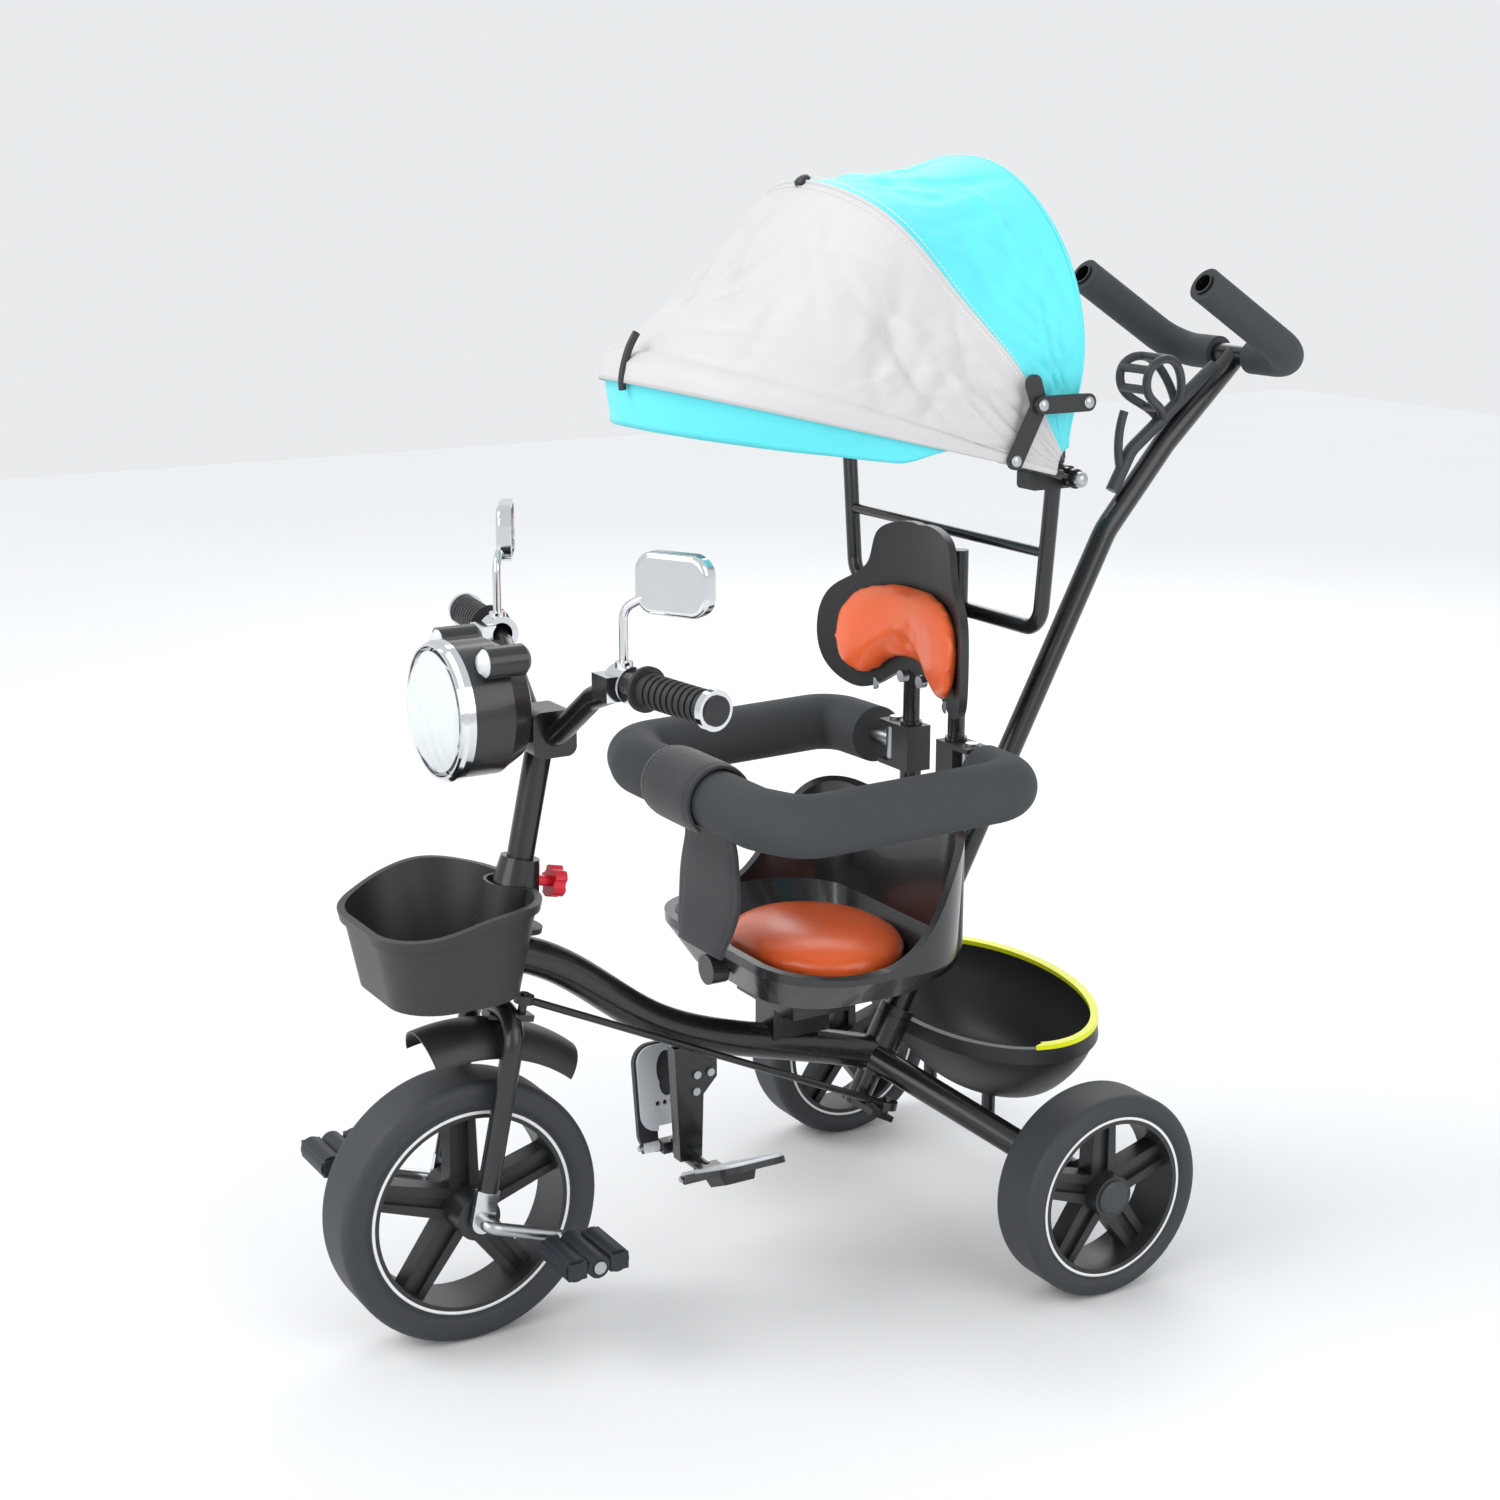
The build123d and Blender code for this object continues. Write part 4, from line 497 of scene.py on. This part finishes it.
def cloth_piece(name, grid, material_name, slot):
    """A sheet of cloth from its outer grid of points, with its flat size and its area."""
    points, faces = shell(grid, grid - normals(grid) * CLOTH_T)
    piece = make(name, points, faces, material_name, slot=slot, uv=cloth_map(grid))
    length = float(np.linalg.norm(np.diff(grid, axis=1), axis=2).sum(axis=1).max()) * MM
    width = float(np.linalg.norm(np.diff(grid, axis=0), axis=2).sum(axis=0).max()) * MM
    area = area_of(grid)
    return piece, (width, length), min(area, width * length)


def fan(first, last, rows, seed, depth, count, sag, extra=(), hem=None):
    """A grid of points from one bow to the next, with sag and folds; extra adds rows past the last bow."""
    share = np.linspace(0, 1, rows)[:, None, None]
    grid = first[None] * (1 - share) + last[None] * share
    way = normals(grid)
    if way[rows // 2, grid.shape[1] // 2, 2] < 0:
        way = -way
    size = [float(np.linalg.norm(np.diff(grid[rows // 2], axis=0), axis=1).sum()),
            float(np.linalg.norm(last[len(last) // 2] - first[len(first) // 2]))]
    folds = creases(rows, grid.shape[1], seed, depth, size, count)
    s, v = np.linspace(0, 1, grid.shape[1])[None, :], share[:, :, 0]
    folds = folds - sag * np.sin(np.pi * v) * np.sin(np.pi * s)
    if hem:
        folds = folds + band(v * size[1], size[1] - hem)
    grid = grid + way * folds[:, :, None]
    if len(extra):
        grid = np.concatenate([grid, np.stack(extra)])
    return grid


def band(down, start):
    """The hem: a groove at its stitched edge and a slightly raised band below it."""
    groove = -1.6 * np.exp(-((down - start) / 3.2) ** 2)
    return groove + 1.4 / (1 + np.exp(-(down - start - 5) / 1.5))


def canopy():
    """The canopy's cloth: turquoise rear panel, off-white front panel with its hem, and the visor."""
    lift = BOW_R + CLOTH_GAP
    rear = bow_points(REAR_BOW, REAR_ANGLE + 1.2, COLUMNS, SKIN_START, lift)
    middle = bow_points(MID_BOW, MID_ANGLE, COLUMNS, SKIN_START, lift)
    front = bow_points(FRONT_BOW, FRONT_ANGLE, COLUMNS, SKIN_START, lift)

    grid = fan(rear, middle, ROWS, seed=11, depth=3.2, count=90, sag=5.0)
    piece, flat, area = cloth_piece("canopy_rear_cloth", grid, "turquoise_cloth", "blue_fabric")
    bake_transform(piece)
    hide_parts("canopy_rear_panel")

    below = [bow_points(FRONT_BOW, FRONT_ANGLE - step, COLUMNS, SKIN_START, lift + out)
             for step, out in ((0.9, 0.6), (1.8, 0.5), (2.6, -0.2))]
    grid = fan(middle, front, FRONT_ROWS, seed=23, depth=3.6, count=120, sag=7.0, extra=below, hem=HEM)
    piece, flat, area = cloth_piece("canopy_front_cloth", grid, "cream_cloth", "cream_fabric")
    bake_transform(piece)
    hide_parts("canopy_front_panel")
    visor()
    canopy_trim(middle)


def visor():
    """The visor hangs from the front hem and dies away towards both sides."""
    columns, rows = 91, 9
    top = bow_points(FRONT_BOW, FRONT_ANGLE - 1.0, columns, 0.12, BOW_R - 0.4)
    edge = bow_points(VISOR_EDGE, VISOR_ANGLE, columns, 0.12, BOW_R + 1.0)
    s = np.linspace(0, 1, columns)
    fade = np.clip(np.minimum(s, 1 - s) / 0.10, 0.04, 1)
    fade = (fade * fade * (3 - 2 * fade))[:, None]
    edge = top + (edge - top) * fade
    share = np.linspace(0, 1, rows)[:, None, None]
    grid = top[None] * (1 - share) + edge[None] * share
    ripple = np.array([[noise.noise(Vector((c * 0.16, r * 0.2, 7.7))) * 2.4 * r / rows
                        for c in range(columns)] for r in range(rows)])
    grid = grid + normals(grid) * ripple[:, :, None]
    piece, flat, area = cloth_piece("canopy_visor_cloth", grid, "turquoise_cloth", "blue_fabric")
    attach(piece, "canopy_front")
    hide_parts("canopy_visor")


def canopy_trim(middle):
    """Piping on the seam, a bound rear edge, rows of stitches, rivets and small clips."""
    seam = bow_points(MID_BOW, MID_ANGLE, 160, SKIN_START, BOW_R + CLOTH_GAP + 0.8)
    make("canopy_seam_piping", *tube(seam, 1.7, 8), "cream_cloth", "canopy_middle", "cream_fabric")
    back = bow_points(REAR_BOW, REAR_ANGLE + 1.6, 160, SKIN_START, BOW_R + CLOTH_GAP - 0.2)
    make("canopy_rear_binding", *tube(back, 2.4, 8), "turquoise_cloth", "frame", "blue_fabric")
    for name, angle in (("canopy_seam_stitches_front", MID_ANGLE - 1.4),
                        ("canopy_seam_stitches_rear", MID_ANGLE + 1.4)):
        line = bow_points(MID_BOW, angle, 200, 0.03, BOW_R + CLOTH_GAP + 0.9)
        stitches(name, line, 4.2, "thread", "canopy_middle")
    centre = middle[COLUMNS // 2]
    way = centre - np.array([0, *CANOPY_PIVOT])
    way /= np.linalg.norm(way)
    button = turned([(0, 0), (0, 8), (3.4, 7.2), (4.4, 5), (4.6, 0)], centre + way * 0.5, way, 24)
    make("canopy_ridge_clip", *button, "moulded_plastic", "canopy_middle", "black_plastic")
    bar = []
    for angle, reach in ((4.6, 2.0), (3.0, 4.2), (1.0, 5.2), (-1.0, 5.0), (-2.6, 3.6), (-3.6, 1.6)):
        turn = math.radians(FRONT_ANGLE + angle)
        out = FRONT_BOW[-1][1] + BOW_R + reach
        bar.append((0, CANOPY_PIVOT[0] - out * math.cos(turn), CANOPY_PIVOT[1] + out * math.sin(turn)))
    make("canopy_hem_clip", *tube(spline(bar, 24), 3.6, 12), "moulded_plastic", "canopy_front",
         "black_plastic")
    rivets()


def rivets():
    """Bright domed heads on the stay pivots and on the canopy's main pivots."""
    dome = [(0, 0), (0, 5.6), (0.8, 5.4), (1.9, 4.0), (2.6, 2.0), (2.8, 0)]
    outer_x = STAY_X + 2 * STAY_T + RIVET_GAP
    spots = {"front_stay": ((STAY_X + STAY_T, *STAY_FOOT), "stay_levers"),
             "rear_stay": ((outer_x, *STAY_HEAD), "stay_struts"),
             "elbow": ((outer_x, *STAY_ELBOW), "stay_levers"),
             "pivot": ((PIVOT_RIVET_X, *CANOPY_PIVOT), "frame")}
    for name, (spot, body) in spots.items():
        for side, sign in (("left", 1), ("right", -1)):
            centre = (sign * spot[0], spot[1], spot[2])
            points, faces = turned(dome, centre, (sign, 0, 0), 24)
            make(f"{name}_rivet_{side}", points, faces, "zinc_steel", body, "steel")


# ---------------------------------------------------------------- stitches by geometry nodes
def stitch_tree():
    """Geometry nodes that lay one short thread every so often along a line of points."""
    tree = bpy.data.node_groups.new("stitch_row", "GeometryNodeTree")
    face = tree.interface
    face.new_socket("Geometry", in_out="INPUT", socket_type="NodeSocketGeometry")
    for name, value in (("Pitch", 0.0042), ("Stitch length", 0.0028), ("Thread radius", 0.0004)):
        face.new_socket(name, in_out="INPUT", socket_type="NodeSocketFloat").default_value = value
    face.new_socket("Material", in_out="INPUT", socket_type="NodeSocketMaterial")
    face.new_socket("Geometry", in_out="OUTPUT", socket_type="NodeSocketGeometry")
    given = add(tree, "NodeGroupInput").outputs
    curve = add(tree, "GeometryNodeMeshToCurve", Mesh=given["Geometry"])
    spots = add(tree, "GeometryNodeCurveToPoints", {"mode": "LENGTH"}, Curve=curve.outputs["Curve"],
                Length=given["Pitch"])
    thread = add(tree, "GeometryNodeMeshCylinder", {"Vertices": 6}, Radius=given["Thread radius"],
                 Depth=given["Stitch length"])
    laid = add(tree, "GeometryNodeInstanceOnPoints", Points=spots.outputs["Points"],
               Instance=thread.outputs["Mesh"], Rotation=spots.outputs["Rotation"])
    real = add(tree, "GeometryNodeRealizeInstances", Geometry=laid.outputs["Instances"])
    dressed = add(tree, "GeometryNodeSetMaterial", Geometry=real.outputs["Geometry"],
                  Material=given["Material"])
    out = add(tree, "NodeGroupOutput")
    tree.links.new(dressed.outputs["Geometry"], out.inputs["Geometry"])
    return tree


STITCH_TREE = stitch_tree()


def stitches(name, line, pitch, material_name, body):
    """A row of stitches along a line, as one finished mesh."""
    mesh = bpy.data.meshes.new(name + "_line")
    mesh.from_pydata(place(line).tolist(), [(i, i + 1) for i in range(len(line) - 1)], [])
    guide = bpy.data.objects.new(name + "_line", mesh)
    bpy.context.scene.collection.objects.link(guide)
    rows = guide.modifiers.new("stitches", "NODES")
    rows.node_group = STITCH_TREE
    for socket in STITCH_TREE.interface.items_tree:
        if socket.name == "Pitch":
            rows[socket.identifier] = pitch * MM
        if socket.name == "Material":
            rows[socket.identifier] = MATERIALS[material_name]
    bpy.context.view_layer.update()
    ready = guide.evaluated_get(bpy.context.evaluated_depsgraph_get())
    done = bpy.data.meshes.new_from_object(ready)
    bpy.data.objects.remove(guide)
    piece = bpy.data.objects.new(name, done)
    bpy.context.scene.collection.objects.link(piece)
    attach(piece, body)


# ---------------------------------------------------------------- cushions
RING_SHARES = [0.12, 0.25, 0.38, 0.5, 0.62, 0.74, 0.84, 0.91, 0.955, 0.985, 1.0]


def pad_mesh(rim, centre, thickness, crown):
    """A crowned closed pad in flat coordinates (a, b, height): its rings of points and faces."""
    rim, centre = np.asarray(rim, float), np.asarray(centre, float)
    rings = []
    for k in RING_SHARES:
        height = thickness * (0.42 + 0.58 * (1 - k ** 7) ** 0.5) + crown * (1 - k * k)
        rings.append(np.column_stack([centre + k * (rim - centre), np.full(len(rim), height)]))
    for k in reversed(RING_SHARES):
        height = 0 if k < 0.97 else thickness * 0.42 * (0.25 if k < 0.99 else 1.0)
        if k < 1:
            rings.append(np.column_stack([centre + k * (rim - centre), np.full(len(rim), height)]))
    points = np.concatenate(rings + [[[*centre, thickness + crown]], [[*centre, 0]]])
    return points, grid_faces(len(rings), len(rim), ring=True) + end_fans(len(rings), len(rim))


def puff(piece, voxel, cap):
    """Swells a pad as stuffed cloth and keeps every point within cap of where it was."""
    scene = bpy.context.scene
    remesh = piece.modifiers.new("remesh", "REMESH")
    remesh.mode = "VOXEL"
    remesh.voxel_size = voxel * MM
    bake(piece)
    before = np.array([v.co for v in piece.data.vertices], float)
    cloth = piece.modifiers.new("cloth", "CLOTH")
    cloth.settings.use_pressure = True
    cloth.settings.uniform_pressure_force = 4.0
    cloth.settings.effector_weights.gravity = 0.0
    cloth.settings.quality = 5
    for step in range(1, 21):
        scene.frame_set(step)
    ready = piece.evaluated_get(bpy.context.evaluated_depsgraph_get())
    after = np.array([v.co for v in ready.data.vertices], float)
    piece.modifiers.clear()
    scene.frame_set(1)
    move = after - before
    far = np.linalg.norm(move, axis=1, keepdims=True)
    move *= np.minimum(1, cap * MM / np.maximum(far, 1e-9))
    piece.data.vertices.foreach_set("co", (before + move).astype(np.float32).ravel())
    smooth = piece.modifiers.new("smooth", "SMOOTH")
    smooth.iterations = 3
    fine = piece.modifiers.new("fine", "SUBSURF")
    fine.levels = 1
    bake(piece)


def bake(piece):
    """Replaces a piece's mesh with what its modifiers make of it."""
    bpy.context.view_layer.update()
    ready = piece.evaluated_get(bpy.context.evaluated_depsgraph_get())
    mesh = bpy.data.meshes.new_from_object(ready)
    piece.modifiers.clear()
    piece.data = mesh
    for polygon in mesh.polygons:
        polygon.use_smooth = True


def press(piece, test):
    """Moves the points of a pad by what test gives for each, in millimetres."""
    for vertex in piece.data.vertices:
        x, y, z = vertex.co / MM
        vertex.co += Vector(test(x, y - SHIFT, z)) * MM


def seat_pad():
    """The round seat cushion, crowned and glossy."""
    turn = np.linspace(0, 2 * math.pi, 72, endpoint=False)
    rim = np.column_stack([CUSHION_HALF[0] * np.cos(turn), CUSHION_HALF[1] * np.sin(turn)]) + CUSHION_CENTRE
    points, faces = pad_mesh(rim, CUSHION_CENTRE, CUSHION_T, CUSHION_CROWN)
    points[:, 2] += SEAT_FLOOR + 0.6
    piece = make("seat_pad", points, faces, "orange_vinyl", slot="orange_vinyl")
    puff(piece, PUFF_VOXEL, PUFF_CAP)
    press(piece, lambda x, y, z: (0, 0, max(0, SEAT_FLOOR + 0.5 - z)))
    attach(piece, "frame")
    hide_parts("seat_cushion")


def back_pad():
    """The kidney-shaped back pad, curved with its shell, with soft creases and a dimple."""
    outline = spline(whole(PAD_HALF), 96)[:-1]
    points, faces = pad_mesh(outline[::-1], PAD_CENTRE, PAD_T, PAD_CROWN)

    def shell_face(x):
        return BACK_FACE_Y - BACK_CURVE + np.sqrt(BACK_CURVE ** 2 - x ** 2)

    x, z, depth = points[:, 0].copy(), points[:, 1].copy(), points[:, 2].copy()
    points[:, 1] = shell_face(x) - 0.5 - depth
    points[:, 2] = z
    piece = make("back_pad", points, faces, "orange_vinyl", slot="orange_vinyl")
    puff(piece, PUFF_VOXEL, PUFF_CAP)

    def fold(x, y, z):
        front = y < shell_face(x) - 9
        dimple = 3.0 * math.exp(-((x - 22) ** 2 + (z - 622) ** 2) / 90)
        crease = 1.6 * math.exp(-((z - 605 - 0.25 * x) ** 2) / 60) * math.exp(-(x - 30) ** 2 / 1800)
        back = max(0, y - shell_face(x) + 0.4)
        return 0, (dimple + crease) * front - back, 0

    press(piece, fold)
    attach(piece, "frame")
    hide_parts("backrest_cushion")


# ---------------------------------------------------------------- strap and other small pieces
def strap():
    """The padded strap: a cuff round the ring that drops to the front of the seat."""
    middle = RING_R + 0.6 + STRAP_T / 2
    wrap = [(RING_Y + middle * math.cos(t), RING_Z + middle * math.sin(t))
            for t in np.radians(np.linspace(-58, 232, 64))]
    line = spline(STRAP_DROP + wrap, 170)
    along = directions(line)
    way = np.stack([along[:, 1], -along[:, 0]], axis=1)
    share = np.linspace(0, 1, len(line))
    width = STRAP_HALF + 11 * np.exp(-((share - 0.2) / 0.13) ** 2) - 6 * np.exp(-(share / 0.05) ** 2)
    x = np.linspace(-1, 1, 41)
    seam = 1 - 0.22 * np.exp(-((np.abs(x) - 0.86) / 0.03) ** 2)
    profile = 0.5 * STRAP_T * (0.42 + 0.58 * (1 - np.abs(x) ** 6)) * seam
    outer, inner = [], []
    for i, ((y, z), (ny, nz)) in enumerate(zip(line, way)):
        soft = 0.5 * noise.noise(Vector((0.3, i * 0.09, 2.0)))
        half = profile + soft * (1 - x * x)
        outer.append(np.column_stack([x * width[i], y + ny * half, z + nz * half]))
        inner.append(np.column_stack([x * width[i], y - ny * profile, z - nz * profile]))
    outer, inner = np.array(outer), np.array(inner)
    points, faces = shell(outer, inner)
    piece = make("strap_cloth", points, faces, "strap_cloth", "guard_right", "strap_fabric", cloth_map(outer))
    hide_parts("crotch_strap")
    for name, sign in (("left", 1), ("right", -1)):
        column = 20 + sign * 17
        lift = outer[:, column] + (outer[:, column] - inner[:, column]) * 0.03
        stitches(f"strap_stitches_{name}", lift[2:-2], 4.5, "dark_thread", "guard_right")


def wheel_lines():
    """The thin white line at the edge of each rim, on both faces."""
    wheels = {"front_wheel": (0, *FRONT_AXLE, *FRONT_LINE),
              "rear_wheel_left": (REAR_WHEEL_X, 0, REAR_AXLE_Z, *REAR_LINE),
              "rear_wheel_right": (-REAR_WHEEL_X, 0, REAR_AXLE_Z, *REAR_LINE)}
    for body, (x, y, z, half, radius, width) in wheels.items():
        for side, sign in (("left", 1), ("right", -1)):
            inner, outer = radius - width, radius + width
            profile = [(0, inner), (0, outer), (LINE_T, outer), (LINE_T, inner)]
            points, faces = turned(profile, (x + sign * half, y, z), (sign, 0, 0), 128)
            make(f"{body}_line_{side}", points, faces, "white_line_paint", body, "eva_tyre")


def mirror_glass():
    """The silvered glass in each mirror, facing the rider."""
    turn = math.radians(MIRROR_TURN)
    for side, sign in (("left", 1), ("right", -1)):
        rim = []
        for corner in range(4):
            across = GLASS_HALF[0] if corner in (0, 3) else -GLASS_HALF[0]
            high = GLASS_HALF[1] if corner < 2 else -GLASS_HALF[1]
            for step in np.radians(np.linspace(corner * 90, corner * 90 + 90, 8)):
                rim.append((across + GLASS_CORNER * math.cos(step), high + GLASS_CORNER * math.sin(step)))
        points = []
        for depth in (GLASS_BACK, GLASS_FRONT):
            for a, b in rim:
                x = a * math.cos(turn) - depth * math.sin(turn)
                y = a * math.sin(turn) + depth * math.cos(turn)
                points.append((sign * (MIRROR_HEAD[0] + x), MIRROR_HEAD[1] + y, MIRROR_HEAD[2] + b))
        count = len(rim)
        faces = grid_faces(2, count, ring=True, flip=sign < 0)
        front, back = list(range(count, 2 * count)), list(range(count))[::-1]
        faces += [front[::-1] if sign < 0 else front, back[::-1] if sign < 0 else back]
        make(f"mirror_glass_{side}", points, faces, "silvered_glass", f"{side}_mirror", "reflector")


# ---------------------------------------------------------------- stage
def studio():
    """A pale floor, soft lights and the camera."""
    scene = bpy.context.scene
    floor_points = [(-FLOOR_HALF, -FLOOR_HALF, 0), (FLOOR_HALF, -FLOOR_HALF, 0),
                    (FLOOR_HALF, FLOOR_HALF, 0), (-FLOOR_HALF, FLOOR_HALF, 0)]
    floor = make("floor", floor_points, [(0, 1, 2, 3)], "floor_paint")
    floor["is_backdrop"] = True
    world = bpy.data.worlds.new("studio")
    world.use_nodes = True
    world.node_tree.nodes["Background"].inputs["Color"].default_value = (0.96, 0.98, 1.0, 1)
    world.node_tree.nodes["Background"].inputs["Strength"].default_value = 0.85
    scene.world = world
    scene.view_settings.view_transform = "Standard"
    for name, kind, spot, size, power in LAMPS:
        light = bpy.data.lights.new(name, kind)
        light.energy = power
        if kind == "SUN":
            light.angle = size
        else:
            light.size = size
        lamp = bpy.data.objects.new(name, light)
        lamp.location = spot
        lamp.rotation_euler = (Vector(LAMP_TARGET) - Vector(spot)).to_track_quat("-Z", "Y").to_euler()
        scene.collection.objects.link(lamp)
        lamp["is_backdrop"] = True
    camera = bpy.data.objects.new("camera", bpy.data.cameras.new("camera"))
    azimuth, elevation = math.radians(CAMERA_AZIMUTH), math.radians(CAMERA_ELEVATION)
    back = Vector((math.sin(azimuth) * math.cos(elevation), -math.cos(azimuth) * math.cos(elevation),
                   math.sin(elevation)))
    camera.location = CAMERA_SPOT
    camera.rotation_mode = "QUATERNION"
    camera.rotation_quaternion = (-back).to_track_quat("-Z", "Y")
    camera.data.lens = CAMERA_LENS
    camera.data.clip_end = 50
    scene.collection.objects.link(camera)
    scene.camera = camera


MATERIALS["floor_paint"] = material("floor_paint", "E6E7E8", 0.85, (900, 0.02), (5, 0.02))


def note_size(stage, sizes):
    """Keeps the shown bounds so far in sizes, under the stage's name."""
    low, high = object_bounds()
    sizes[stage] = [list(low), list(high)]


SIZES = {}
note_size("cad", SIZES)
dress()
two_tone_parts()
canopy()
seat_pad()
back_pad()
strap()
wheel_lines()
mirror_glass()
studio()
note_size("visual", SIZES)
